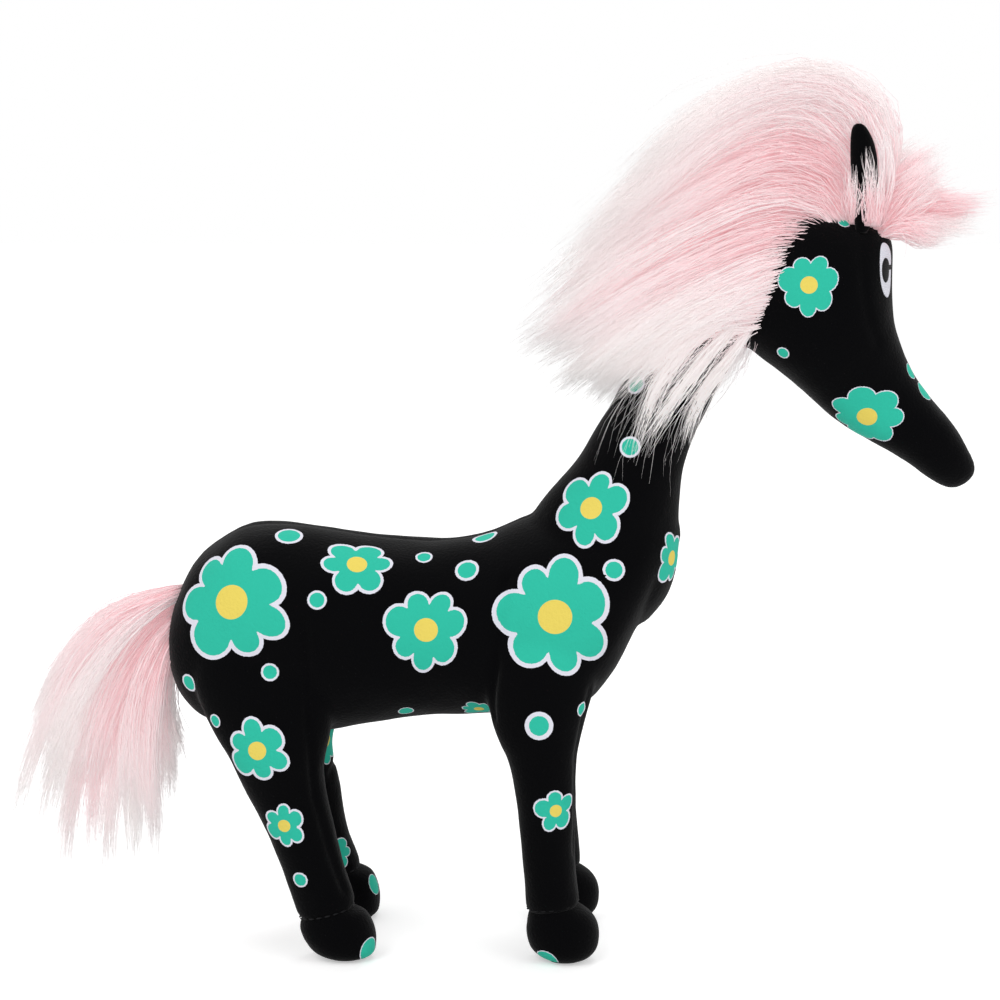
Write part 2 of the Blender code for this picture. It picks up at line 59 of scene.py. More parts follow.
# Camera, a short telephoto a little above the toy's back, seen from its right side.
# Its place was worked out from the hooves, the soles and the distance between them.
view_distance = 1.10
view_rise = math.radians(8)
view_turn = math.radians(2)
picture_pixels = 1000
metres_per_pixel = 0.0004
focal_pixels = view_distance / metres_per_pixel
aim = Vector((0.0013, 0, 0.1805))
toward_camera = Vector((math.sin(view_turn) * math.cos(view_rise),
                        -math.cos(view_turn) * math.cos(view_rise), math.sin(view_rise)))
camera_place = aim + toward_camera * view_distance
picture_right = Vector((math.cos(view_turn), math.sin(view_turn), 0))
picture_up = picture_right.cross(-toward_camera)
camera_data = bpy.data.cameras.new("camera")
camera_data.sensor_width = 36
camera_data.lens = camera_data.sensor_width * focal_pixels / picture_pixels
camera = bpy.data.objects.new("camera", camera_data)
camera.location = camera_place
camera.rotation_euler = (-toward_camera).to_track_quat("-Z", "Y").to_euler()
bpy.context.scene.collection.objects.link(camera)
bpy.context.scene.camera = camera
bpy.context.scene.view_settings.view_transform = "Standard"
# pale hair passes light on many times
bpy.context.scene.cycles.max_bounces = 16
bpy.context.scene.cycles.diffuse_bounces = 12


def sight_line(across, down):
    """The direction from the camera through a pixel of the picture."""
    right = (across - picture_pixels / 2) / focal_pixels
    rise = (picture_pixels / 2 - down) / focal_pixels
    return (-toward_camera + picture_right * right + picture_up * rise).normalized()


def on_middle(across, down):
    """The point under a pixel on the toy's upright middle plane."""
    line = sight_line(across, down)
    return camera_place - line * (camera_place.y / line.y)


# Floor and light. The floor is a white sheet that fades into the white room behind it,
# and the lamps are large soft boxes above, in front and behind.
floor_reach = 6.0
floor_glow = 0.42
room_light = 0.75
lamp_size = 1.2


def worked_out(tree, operation, *values):
    """A step of arithmetic in a material: a Math node on numbers or on other outputs."""
    node = tree.nodes.new("ShaderNodeMath")
    node.operation = operation
    for socket, value in zip(node.inputs, values):
        if isinstance(value, (int, float)):
            socket.default_value = value
        else:
            tree.links.new(value, socket)
    return node.outputs[0]


def plain_material(name, roughness, specular):
    """A new material, with its tree and its shader."""
    made = bpy.data.materials.new(name)
    made.use_nodes = True
    shader = made.node_tree.nodes["Principled BSDF"]
    shader.inputs["Roughness"].default_value = roughness
    shader.inputs["Specular IOR Level"].default_value = specular
    return made, made.node_tree, shader


def seen_straight(tree):
    """1 where the camera, a mirror or clear glass looks, 0 for light that only lands."""
    path = tree.nodes.new("ShaderNodeLightPath").outputs
    either = worked_out(tree, "MAXIMUM", path["Is Camera Ray"], path["Is Glossy Ray"])
    return worked_out(tree, "MAXIMUM", either, path["Is Transmission Ray"])


def white_sheet():
    """A white floor that keeps the toy's shadow: a bright matt surface, lifted by a
    share of its own light only where it is looked at."""
    made, tree, shader = plain_material("white_sheet", 0.95, 0.0)
    shader.inputs["Base Color"].default_value = (0.80, 0.80, 0.80, 1)
    shader.inputs["Emission Color"].default_value = (1, 1, 1, 1)
    glow = worked_out(tree, "MULTIPLY", seen_straight(tree), floor_glow)
    tree.links.new(glow, shader.inputs["Emission Strength"])
    return made


floor_mesh = bpy.data.meshes.new("floor")
floor_mesh.from_pydata([(-floor_reach, -floor_reach, 0), (floor_reach, -floor_reach, 0),
                        (floor_reach, floor_reach, 0), (-floor_reach, floor_reach, 0)],
                       [], [(0, 1, 2, 3)])
floor = bpy.data.objects.new("floor", floor_mesh)
floor_mesh.materials.append(white_sheet())
bpy.context.scene.collection.objects.link(floor)


def soft_box(name, place, power):
    lamp_data = bpy.data.lights.new(name, "AREA")
    lamp_data.shape = "DISK"
    lamp_data.size = lamp_size
    lamp_data.energy = power
    lamp = bpy.data.objects.new(name, lamp_data)
    lamp.location = place
    lamp.rotation_euler = (aim - Vector(place)).to_track_quat("-Z", "Y").to_euler()
    bpy.context.scene.collection.objects.link(lamp)


soft_box("key_lamp", (-0.9, -1.5, 1.6), 13)
soft_box("fill_lamp", (1.4, -1.2, 1.0), 7)
soft_box("rim_lamp", (0.2, 1.3, 1.7), 10)
world = bpy.data.worlds.new("white_room")
bpy.context.scene.world = world
world.use_nodes = True
room = world.node_tree.nodes["Background"]
room.inputs["Color"].default_value = (1, 1, 1, 1)
room_share = world.node_tree.nodes.new("ShaderNodeMapRange")
room_share.inputs["To Min"].default_value = room_light
room_share.inputs["To Max"].default_value = 1.0
world.node_tree.links.new(seen_straight(world.node_tree), room_share.inputs["Value"])
world.node_tree.links.new(room_share.outputs["Result"], room.inputs["Strength"])


# The stuffed body, neck and head: short-pile black fabric sewn in panels over fibre.
# It is drawn as swelling tubes that run into each other, rounded off where they meet,
# and then parted at the joints' roots.
skin_grain = 0.0016
rows_between = 3
# the rows of each table were measured with the head's joint at this place along the toy
measured_head_joint = 0.108
middle_shift = joints["head_nod"]["pos_m"][0] - measured_head_joint


def smooth_table(rows, steps):
    """Each column follows a smooth curve through its rows: a cubic that leaves every
    row along the line between its neighbours."""
    table = np.array(rows, dtype=float)
    padded = np.vstack((2 * table[0] - table[1], table, 2 * table[-1] - table[-2]))
    before, start, end, after = (padded[k:k + len(table) - 1] for k in range(4))
    part = np.arange(steps)[:, None, None] / steps
    made = 0.5 * (2 * start + (end - before) * part
                  + (2 * before - 5 * start + 4 * end - after) * part ** 2
                  + (3 * start - before - 3 * end + after) * part ** 3)
    made = made.transpose(1, 0, 2).reshape(-1, table.shape[1])
    return np.vstack((made, table[-1]))


def signed_power(values, power):
    return np.sign(values) * np.abs(values) ** power


def ring_walls(index):
    """The four-cornered faces between rows of numbered points that run around a tube."""
    after = np.roll(index, -1, axis=1)
    return np.stack((index[:-1], after[:-1], after[1:], index[1:]), -1).reshape(-1, 4)


def tube_grid(centres, direction, half_depth, half_width, power, around):
    """A closed tube of rounded sections: a point at angle t lies half depth times the
    signed power of cos t along the section's upright, and half width times that of
    sin t to the left. Each end is drawn in to its middle. The sections stand square to
    one direction, or to the tube's own path where direction is None."""
    if direction is None:
        along = np.gradient(centres, axis=0)
        along /= np.linalg.norm(along, axis=1)[:, None]
    else:
        along = np.tile(np.array(direction, dtype=float), (len(centres), 1))
    side = np.array((0.0, 1.0, 0.0))
    upright = np.cross(along, side)
    upright /= np.linalg.norm(upright, axis=1)[:, None]
    turn = 2 * np.pi * np.arange(around) / around
    depth = signed_power(np.cos(turn), 2 / power)
    width = signed_power(np.sin(turn), 2 / power)
    points = (centres[:, None, :]
              + upright[:, None, :] * (half_depth[:, None] * depth)[:, :, None]
              + side * (half_width[:, None] * width)[:, :, None])
    count = len(centres)
    index = np.arange(count * around).reshape(count, around)
    after = np.roll(index, -1, axis=1)
    points = np.vstack((points.reshape(-1, 3), centres[0], centres[-1]))
    first = count * around
    start_cap = np.stack((np.full(around, first), after[0], index[0]), -1)
    end_cap = np.stack((np.full(around, first + 1), index[-1], after[-1]), -1)
    faces = ring_walls(index).tolist() + start_cap.tolist() + end_cap.tolist()
    return points, [tuple(face) for face in faces]


def placed(name, mesh):
    made = bpy.data.objects.new(name, mesh)
    bpy.context.scene.collection.objects.link(made)
    return made


def formed(name, parts):
    """One object from several grids of points and faces."""
    points = []
    faces = []
    start = 0
    for grid_points, grid_faces in parts:
        points.append(grid_points)
        faces.extend(tuple(corner + start for corner in face) for face in grid_faces)
        start += len(grid_points)
    mesh = bpy.data.meshes.new(name)
    mesh.from_pydata(np.vstack(points).tolist(), [], faces)
    mesh.update()
    return placed(name, mesh)


def keep_vectors(mesh, name, domain, values):
    """Gives a mesh a named vector at each of its points or corners."""
    kept = mesh.attributes.new(name, "FLOAT_VECTOR", domain)
    kept.data.foreach_set("vector", values.ravel())


# How square each tube's sections are, where 2 is an ellipse, and the points around it
trunk_power, trunk_around = 2.25, 48
neck_power, neck_around = 2.1, 32
head_power, head_around = 2.5, 48
leg_power, leg_around = 2.15, 32
# rows: place along the toy, top, bottom and half width
trunk_rows = (
    (-0.1338, 0.128, 0.117, 0.006),
    (-0.1325, 0.1365, 0.1085, 0.016),
    (-0.1285, 0.1470, 0.1000, 0.024),
    (-0.1205, 0.1590, 0.0925, 0.0305),
    (-0.1060, 0.1688, 0.0880, 0.0360),
    (-0.0900, 0.1710, 0.0865, 0.0385),
    (-0.0735, 0.1694, 0.0870, 0.0385),
    (-0.0574, 0.1670, 0.0897, 0.0375),
    (-0.0413, 0.1650, 0.0923, 0.0355),
    (-0.0253, 0.1645, 0.0942, 0.0345),
    (-0.0092, 0.1668, 0.0947, 0.0350),
    (0.0070, 0.1730, 0.0950, 0.0365),
    (0.0200, 0.1760, 0.0960, 0.0375),
    (0.0330, 0.1765, 0.0995, 0.0370),
    (0.0450, 0.1760, 0.1130, 0.0345),
    (0.0550, 0.1765, 0.1325, 0.0290),
    (0.0620, 0.1765, 0.1475, 0.0220),
    (0.0676, 0.1750, 0.1590, 0.0140),
    (0.0708, 0.1710, 0.1650, 0.0060),
)
trunk_table = smooth_table(trunk_rows, rows_between)
trunk_centres = np.stack((trunk_table[:, 0] + middle_shift, np.zeros(len(trunk_table)),
                          trunk_table[:, 1:3].mean(axis=1)), -1)
trunk_tube = tube_grid(trunk_centres, (1, 0, 0), (trunk_table[:, 1] - trunk_table[:, 2]) / 2,
                       trunk_table[:, 3], trunk_power, trunk_around)

# rows: forward, up, half depth, half width
neck_rows = (
    (0.0330, 0.1400, 0.0260, 0.0270),
    (0.0375, 0.1540, 0.0310, 0.0295),
    (0.0420, 0.1680, 0.0300, 0.0280),
    (0.0482, 0.1850, 0.0237, 0.0240),
    (0.0532, 0.1990, 0.0198, 0.0202),
    (0.0587, 0.2110, 0.0180, 0.0180),
    (0.0643, 0.2225, 0.0176, 0.0170),
    (0.0710, 0.2343, 0.0166, 0.0166),
    (0.0798, 0.2472, 0.0152, 0.0165),
    (0.0912, 0.2602, 0.0144, 0.0165),
    (0.1040, 0.2705, 0.0146, 0.0165),
    (0.1160, 0.2720, 0.0160, 0.0150),
)
neck_table = smooth_table(neck_rows, rows_between)
neck_centres = np.stack((neck_table[:, 0] + middle_shift, np.zeros(len(neck_table)),
                         neck_table[:, 1]), -1)
neck_tube = tube_grid(neck_centres, None, neck_table[:, 2], neck_table[:, 3], neck_power,
                      neck_around)

# The head is a wedge along its own slope; rows: along it, lower edge, upper edge, width
head_slope = math.radians(39.7)
head_middle = np.array((0.120 + middle_shift, 0, 0.262))
head_along = np.array((math.sin(head_slope), 0, -math.cos(head_slope)))
head_across = np.array((math.cos(head_slope), 0, math.sin(head_slope)))
head_rows = (
    (-0.0335, 0.001, 0.009, 0.0035),
    (-0.0315, -0.006, 0.016, 0.010),
    (-0.0270, -0.0125, 0.0235, 0.0160),
    (-0.0190, -0.0205, 0.0305, 0.0215),
    (-0.0110, -0.0255, 0.0355, 0.0245),
    (-0.0030, -0.0305, 0.0395, 0.0265),
    (0.0040, -0.0298, 0.0388, 0.0270),
    (0.0120, -0.0280, 0.0325, 0.0268),
    (0.0210, -0.0262, 0.0258, 0.0255),
    (0.0300, -0.0248, 0.0203, 0.0233),
    (0.0400, -0.0232, 0.0162, 0.0205),
    (0.0500, -0.0205, 0.0133, 0.0180),
    (0.0620, -0.0160, 0.0127, 0.0160),
    (0.0750, -0.0112, 0.0132, 0.0143),
    (0.0850, -0.0084, 0.0115, 0.0122),
    (0.0920, -0.0058, 0.0098, 0.0092),
    (0.0955, -0.0030, 0.0078, 0.0058),
    (0.0972, 0.0005, 0.0050, 0.0022),
)
head_table = smooth_table(head_rows, rows_between)
head_spine = (head_middle + head_along * head_table[:, :1]
              + head_across * (head_table[:, 1:3].mean(axis=1))[:, None])
head_tube = tube_grid(head_spine, head_along, (head_table[:, 2] - head_table[:, 1]) / 2,
                      head_table[:, 3], head_power, head_around)

# Legs; rows: up, place along the toy, half length, half width
leg_rows = {
    "hind": ((0.1300, -0.0960, 0.0200, 0.0100), (0.1240, -0.0950, 0.0260, 0.0105),
             (0.1100, -0.0935, 0.0272, 0.0130), (0.0930, -0.0906, 0.0236, 0.0146),
             (0.0805, -0.0880, 0.0186, 0.0146), (0.0720, -0.0861, 0.0167, 0.0138),
             (0.0562, -0.0809, 0.0145, 0.0126), (0.0400, -0.0759, 0.0126, 0.0116),
             (0.0260, -0.0708, 0.0118, 0.0110), (0.0205, -0.0692, 0.0112, 0.0107),
             (0.0182, -0.0686, 0.0098, 0.0096), (0.0172, -0.0684, 0.0060, 0.0060)),
    "front": ((0.1350, 0.0150, 0.0160, 0.0090), (0.1280, 0.0155, 0.0205, 0.0120),
              (0.1130, 0.0155, 0.0215, 0.0140), (0.1000, 0.0152, 0.0192, 0.0146),
              (0.0880, 0.0157, 0.0158, 0.0140), (0.0813, 0.0166, 0.0137, 0.0133),
              (0.0652, 0.0176, 0.0119, 0.0121), (0.0490, 0.0189, 0.0108, 0.0112),
              (0.0330, 0.0201, 0.0106, 0.0110), (0.0240, 0.0208, 0.0106, 0.0107),
              (0.0215, 0.0210, 0.0096, 0.0096), (0.0205, 0.0211, 0.0060, 0.0060)),
}
leg_spread = joints["hind_left_leg_swing"]["pos_m"][1]
# the leg's top leans in under the trunk's side
lean_heights = (0.08, 0.13)
lean_shares = (1, 0.86)
# the ankle seam climbs towards the front
ankle_tilt = {"hind": 0.24, "front": 0.14}
ankle_tilt_top = 0.034
ankle_tilt_reach = 0.012
# the left hind leg and its hoof are slimmer in front, as the photo shows them
slimmer = 0.0030
slimmer_reach = 0.012
slimmer_heights = (0.018, 0.03, 0.07, 0.09)
slimmer_shares = (1, 1, 1, 0)


def slimmed(forward, middle):
    """How far the slimmer leg's front lies behind the other's, forward of its middle."""
    return slimmer * np.clip((forward - middle) / slimmer_reach, 0, 1)


tubes = [trunk_tube, neck_tube, head_tube]
for pair in ("hind", "front"):
    table = smooth_table(leg_rows[pair], rows_between)
    for side in (-1, 1):
        lean = np.interp(table[:, 0], lean_heights, lean_shares)
        centres = np.stack((table[:, 1] + middle_shift, side * leg_spread * lean,
                            table[:, 0]), -1)
        leg_points, leg_faces = tube_grid(centres, (0, 0, -1), table[:, 2], table[:, 3],
                                          leg_power, leg_around)
        if pair == "hind" and side == 1:
            middle_x = np.interp(leg_points[:, 2], table[::-1, 0], table[::-1, 1]) + middle_shift
            share = np.interp(leg_points[:, 2], slimmer_heights, slimmer_shares)
            leg_points[:, 0] -= slimmed(leg_points[:, 0], middle_x) * share
        ankle_x = leg_rows[pair][-1][1] + middle_shift
        low_share = np.clip((ankle_tilt_top - leg_points[:, 2]) / ankle_tilt_reach, 0, 1)
        leg_points[:, 2] += ankle_tilt[pair] * low_share * (leg_points[:, 0] - ankle_x)
        tubes.append((leg_points, leg_faces))

body_form = formed("body_form", tubes)
remesh = body_form.modifiers.new("skin", "REMESH")
remesh.mode = "VOXEL"
remesh.voxel_size = skin_grain
round_off = body_form.modifiers.new("round_off", "SMOOTH")
round_off.factor = 0.5
round_off.iterations = 4
dressed = body_form.evaluated_get(bpy.context.evaluated_depsgraph_get())
skin = bpy.data.meshes.new_from_object(dressed)
bpy.data.objects.remove(body_form)


def vectors_of(items, field="co"):
    """One vector of each item, such as the places of a mesh's vertices."""
    found = np.empty(len(items) * 3)
    items.foreach_get(field, found)
    return found.reshape(-1, 3)


# a place well outside the toy on its left
far_left = 0.3


def on_surface(tree, across, down, side="right"):
    """Where the sight line through a pixel meets a surface. The side is right for the
    first place it meets, left for the place straight across on the left, and inner for
    the first place beyond the middle of the toy."""
    start = on_middle(across, down) if side == "inner" else camera_place
    place, normal, _, _ = tree.ray_cast(start, sight_line(across, down))
    if place is not None and side == "left":
        start = Vector((place.x, far_left, place.z))
        place, normal, _, _ = tree.ray_cast(start, Vector((0, -1, 0)))
    return place, normal


def tree_of(mesh):
    corners = [vertex.co for vertex in mesh.vertices]
    return BVHTree.FromPolygons(corners, [tuple(face.vertices) for face in mesh.polygons])


# The seams pull the cloth in along a line, in small puckers; each line is named by where
# it is seen in the photo and follows the surface there, on both sides of the toy.
seam_reach = 0.0028
seam_point_gap = 0.001
points_at_once = 4000
# depth of the pull in metres, then the places in the photo
seam_pixels = {
    "hind_leg": (0.0013, ((303, 622), (307, 670), (308, 724), (315, 799), (330, 852),
                          (345, 890))),
    "front_leg_rear": (0.0015, ((507, 580), (499, 629), (493, 690), (494, 718))),
    "front_leg_front": (0.0008, ((590, 690), (576, 753), (574, 814), (575, 852),
                                 (579, 900))),
    "forehead": (0.0007, ((861, 224), (861, 256), (864, 290), (869, 320), (878, 345))),
}
middle_seam_depth = 0.0007
middle_seam_reach = 0.0016
# forward of and above this place the forehead's gusset lies over the middle
gusset_start = (0.140, 0.2525)


def reach_along(points):
    """How far along a broken line each of its points lies."""
    steps = np.linalg.norm(np.diff(points, axis=0), axis=1)
    return np.concatenate(((0,), np.cumsum(steps)))


def points_at(marks, reach, points):
    """The points of a broken line at the marked distances along it."""
    return np.stack([np.interp(marks, reach, column) for column in points.T], -1)


smooth_tree = tree_of(skin)
seam_lines = {}
for name, (depth, pixels) in seam_pixels.items():
    for side in ("right", "left"):
        found = [on_surface(smooth_tree, across, down, side)[0] for across, down in pixels]
        line = np.array([tuple(point) for point in found if point is not None])
        reach = reach_along(line)
        path = points_at(np.arange(0, reach[-1], seam_point_gap), reach, line)
        seam_lines[name, side] = (depth, path)

places = vectors_of(skin.vertices)
outward = vectors_of(skin.vertex_normals, "vector")
press = np.zeros(len(places))
for depth, path in seam_lines.values():
    for start in range(0, len(places), points_at_once):
        some = slice(start, start + points_at_once)
        gap = np.linalg.norm(places[some, None] - path[None], axis=2).min(axis=1)
        dent = depth * np.exp(-(gap / seam_reach) ** 2 * 2)
        press[some] = np.maximum(press[some], dent)
# the two sides of trunk, neck and head meet in a seam along the middle
middle_dent = middle_seam_depth * np.exp(-(places[:, 1] / middle_seam_reach) ** 2)
middle_dent[(places[:, 0] > gusset_start[0]) & (places[:, 2] > gusset_start[1])] = 0
press = np.maximum(press, middle_dent)
# the fibre inside lies in soft lumps: sums of slow waves in three directions
lump_waves = ((0.00022, (110, 90, 100), 0.3), (0.00018, (-90, 160, 120), 1.9),
              (0.00010, (220, -150, 190), 4.0), (0.00004, (420, 330, -370), 2.2))
lumps = np.zeros(len(places))
for spread, wave, phase in lump_waves:
    lumps += spread * np.sin(places @ np.array(wave) + phase)
places = places + outward * (lumps - press)[:, None]
skin.vertices.foreach_set("co", places.ravel())
skin.update()
skin_tree = tree_of(skin)


# The skin is parted where the neck, the head and the legs leave the trunk. Each part is
# closed across its cut, and the rim of the cut is a sharp edge, so the cap inside shades
# nothing of the skin outside.
neck_pivot = np.array(joints["neck_flex"]["pos_m"])
neck_way = np.array((0.6, 0, 0.8))
neck_start = neck_pivot + np.array((0, 0, -0.006))
neck_lowest = 0.13
head_start = np.array((0.088, 0, 0.250))
head_lowest = 0.17
leg_top = 0.080
between_legs = -0.03


def part_of(centre):
    """The part of the body that a place on the skin belongs to."""
    x, y, z = centre
    if x > head_start[0] and z > head_lowest:
        return "head"
    if (centre - neck_start) @ neck_way > 0 and z > neck_lowest:
        return "neck"
    if z < leg_top:
        pair = "hind" if x < between_legs else "front"
        return pair + ("_left_leg" if y > 0 else "_right_leg")
    return "trunk"


def closed_part(name, face_numbers, mesh):
    """The named faces as a mesh of their own, each hole closed by a fan of faces."""
    old_points = vectors_of(mesh.vertices)
    faces = [tuple(mesh.polygons[number].vertices) for number in face_numbers]
    used = sorted({corner for face in faces for corner in face})
    new_number = {old: new for new, old in enumerate(used)}
    faces = [tuple(new_number[corner] for corner in face) for face in faces]
    points = old_points[used].tolist()
    once = {}
    for face in faces:
        for start, end in zip(face, face[1:] + face[:1]):
            if (end, start) in once:
                del once[end, start]
            else:
                once[start, end] = True
    follow = {end: start for start, end in once}
    rim = set()
    while follow:
        first = next(iter(follow))
        ring = [first]
        while follow[ring[-1]] != first:
            ring.append(follow.pop(ring[-1]))
        follow.pop(ring[-1])
        middle = len(points)
        points.append(np.mean([points[number] for number in ring], axis=0).tolist())
        for start, end in zip(ring, ring[1:] + ring[:1]):
            faces.append((start, end, middle))
            rim.add(tuple(sorted((start, end))))
    made = bpy.data.meshes.new(name)
    made.from_pydata(points, [], faces)
    made.polygons.foreach_set("use_smooth", [True] * len(faces))
    made.update()
    sharp = made.attributes.new("sharp_edge", "BOOLEAN", "EDGE")
    sharp.data.foreach_set("value", [tuple(sorted(edge.vertices)) in rim for edge in made.edges])
    keep_vectors(made, "rest_place", "POINT", np.array(points))
    return placed(name, made)


face_parts = {}
for face in skin.polygons:
    face_parts.setdefault(part_of(np.array(face.center)), []).append(face.index)
body_parts = {name: closed_part(name + "_skin", numbers, skin)
              for name, numbers in face_parts.items()}

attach(body_parts["trunk"], "trunk")
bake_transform(body_parts["neck"])
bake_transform(body_parts["head"])
for pair in ("hind", "front"):
    for side in ("right", "left"):
        leg = f"{pair}_{side}_leg"
        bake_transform(body_parts[leg])
        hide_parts(leg + "_cover_outer", leg + "_cover_inner",
                    leg + "_stuffing")
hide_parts("trunk_cover_right", "trunk_cover_left", "trunk_stuffing")
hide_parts("neck_cover_right", "neck_cover_left", "neck_stuffing")
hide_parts("head_cover_right", "head_cover_left", "forehead_gusset",
            "head_stuffing")


# The printed pattern is a common daisy-and-dot print. Each daisy and dot is laid where
# the photo shows it: the face below the pixel gives its middle, and the cloth around it
# is measured from there, so the print follows the curve of the body.
# across, down, width in pixels, petals, turn in degrees, width of the pale outline in
# pixels; a dot has no petals
near_print = (
    (910.5, 371, 17, 0, 0, 0.6), (924, 391, 21, 0, 0, 0.6),
    (231, 602, 126, 7, 18, 4.4), (357, 564, 74, 6, 0, 3), (426, 630, 86, 7, 43, 3),
    (555, 617, 124, 7, 29, 4.4), (591, 508, 82, 6, 40, 3), (672, 558, 56, 6, 15, 2),
    (257, 751, 68, 6, 20, 2.8), (284, 826, 47, 6, 30, 2), (556, 811, 46, 5, 46, 1.8),
    (809, 285, 62, 7, 40, 1.0), (867, 417, 74, 7, 3, 1.0), (479, 709, 38, 6, 10, 1),
    (289, 535, 28, 0, 0, 3), (317, 600, 19, 0, 0, 2.2), (270, 672, 18, 0, 0, 2.2),
    (189, 683, 19, 0, 0, 2), (215, 721, 14, 0, 0, 1.5), (424, 557, 17, 0, 0, 2),
    (467, 570, 24, 0, 0, 2.8), (485, 537, 26, 0, 0, 3), (614, 570, 22, 0, 0, 2.6),
    (539, 726, 28, 0, 0, 4.3), (582, 709, 15, 0, 0, 1.4), (300, 880, 16, 0, 0, 1.8),
    (630, 447, 21, 0, 0, 2.4), (636, 384, 21, 0, 0, 2.4), (783, 353, 13, 0, 0, 1.2),
    (844, 223, 12, 0, 0, 1), (406, 711, 16, 0, 0, 1),
)
inner_print = (
    (326, 741, 54, 6, 30, 1), (336, 853, 38, 6, 0, 1),
)
far_print = (
    (215, 640, 104, 7, 30, 3.7), (300, 575, 80, 6, 12, 2.9), (385, 650, 92, 7, 0, 3.3),
    (480, 575, 84, 6, 22, 3.0), (560, 650, 112, 7, 40, 4.0), (650, 560, 80, 6, 5, 2.9),
    (640, 420, 60, 6, 0, 2.2), (245, 740, 56, 6, 15, 2.0), (270, 820, 48, 6, 0, 1.7),
    (545, 760, 52, 6, 20, 1.9), (556, 850, 44, 6, 0, 1.6), (790, 300, 66, 7, 20, 2.4),
    (880, 395, 66, 7, 3, 2.4), (470, 690, 44, 6, 0, 1.6), (340, 700, 26, 0, 0, 2.7),
    (250, 560, 20, 0, 0, 2.4), (420, 555, 18, 0, 0, 2.2), (435, 700, 20, 0, 0, 2.4),
    (590, 560, 22, 0, 0, 2.6), (610, 480, 24, 0, 0, 2.7), (500, 640, 17, 0, 0, 2.0),
    (310, 880, 16, 0, 0, 1.9), (300, 650, 16, 0, 0, 1.9), (840, 350, 18, 0, 0, 2.2),
    (930, 430, 16, 0, 0, 1.9), (840, 260, 18, 0, 0, 2.2), (560, 905, 14, 0, 0, 1.7),
    (190, 590, 18, 0, 0, 2.2), (520, 540, 20, 0, 0, 2.4), (700, 350, 18, 0, 0, 2.2),
)


def marks_on(tree, marks_seen, side="right"):
    """The middle, outward direction, radius, petals, turn and outline of each mark."""
    marks = []
    for across, down, width, petals, turn, outline in marks_seen:
        place, normal = on_surface(tree, across, down, side)
        marks.append((np.array(place), np.array(normal), width * metres_per_pixel / 2, petals,
                      math.radians(turn), outline * metres_per_pixel))
    return marks


body_marks = (marks_on(skin_tree, near_print) + marks_on(skin_tree, inner_print, "inner")
              + marks_on(skin_tree, far_print, "left"))
# a mark's plane is only read near it, and a face that looks away from it takes none
print_reach = 0.02
turned_away = -0.35
out_of_reach = 1e8


def lay_print(obj, marks):
    """Gives each corner of each face its place from the middle of the nearest mark,
    measured over the cloth, and that mark's radius, petals and turn."""
    mesh = obj.data
    points = vectors_of(mesh.vertices)
    corner_points = np.empty(len(mesh.loops), dtype=np.int64)
    mesh.loops.foreach_get("vertex_index", corner_points)
    sizes = np.array([len(face.vertices) for face in mesh.polygons])
    face_of_corner = np.repeat(np.arange(len(sizes)), sizes)
    centres = np.array([face.center for face in mesh.polygons])
    normals = np.array([face.normal for face in mesh.polygons])
    nearest = np.full(len(sizes), 2 * out_of_reach)
    choice = np.zeros(len(sizes), dtype=np.int64)
    for number, (place, normal, radius, petals, turn, outline) in enumerate(marks):
        gap = np.linalg.norm(centres - place, axis=1) - radius
        gap[normals @ normal < turned_away] = out_of_reach
        closer = gap < nearest
        nearest[closer] = gap[closer]
        choice[closer] = number
    middle = np.array([mark[0] for mark in marks])
    ahead = np.array([mark[1] for mark in marks])
    ahead /= np.linalg.norm(ahead, axis=1)[:, None]
    first = np.cross(np.array((0.0, 0.0, 1.0)), ahead)
    first /= np.linalg.norm(first, axis=1)[:, None] + 1e-9
    second = np.cross(ahead, first)
    chosen = choice[face_of_corner]
    away = points[corner_points] - middle[chosen]
    flat = np.stack(((away * first[chosen]).sum(axis=1), (away * second[chosen]).sum(axis=1)), -1)
    reach = np.linalg.norm(away, axis=1)
    flat *= (reach / (np.linalg.norm(flat, axis=1) + 1e-9))[:, None]
    flat[nearest[face_of_corner] >= print_reach] = 1.0
    turns = np.array([mark[4] for mark in marks])[chosen]
    kinds = np.array([(mark[2], mark[3], mark[5]) for mark in marks])[chosen]
    keep_vectors(mesh, "print_place", "CORNER", np.column_stack((flat, turns)))
    keep_vectors(mesh, "print_kind", "CORNER", kinds)


for part in body_parts.values():
    lay_print(part, body_marks)


pile_black = (0.0012, 0.0012, 0.0016, 1)
outline_white = (0.72, 0.72, 0.80, 1)
daisy_green = (0.032, 0.50, 0.36, 1)
middle_yellow = (0.80, 0.64, 0.125, 1)
# a daisy's drawing, in shares of its radius, and the fraying of the print in metres
petal_lean, petal_fullness, uneven_rim = 0.13, 1.20, 0.06
core_share, notch_round, yellow_share = 1.06, 0.10, 0.27
fray_grain, fray_width = 1600, 0.0005


def parts_of(tree, name):
    """The three numbers of a vector that the mesh keeps under that name."""
    attribute = tree.nodes.new("ShaderNodeAttribute")
    attribute.attribute_name = name
    split = tree.nodes.new("ShaderNodeSeparateXYZ")
    tree.links.new(attribute.outputs["Vector"], split.inputs[0])
    return split.outputs


def arithmetic(tree):
    """Ways to work out a number in a material: any operation by its name, then a sum, a
    difference and a product."""
    def sums(operation, *values):
        return worked_out(tree, operation, *values)

    def named(operation):
        return lambda *values: sums(operation, *values)

    return sums, named("ADD"), named("SUBTRACT"), named("MULTIPLY")


def raise_relief(tree, shader, height, depth):
    """Lets the light see a fine relief of that depth."""
    bump = tree.nodes.new("ShaderNodeBump")
    bump.inputs["Strength"].default_value = 0.5
    bump.inputs["Distance"].default_value = depth
    tree.links.new(height, bump.inputs["Height"])
    tree.links.new(bump.outputs["Normal"], shader.inputs["Normal"])


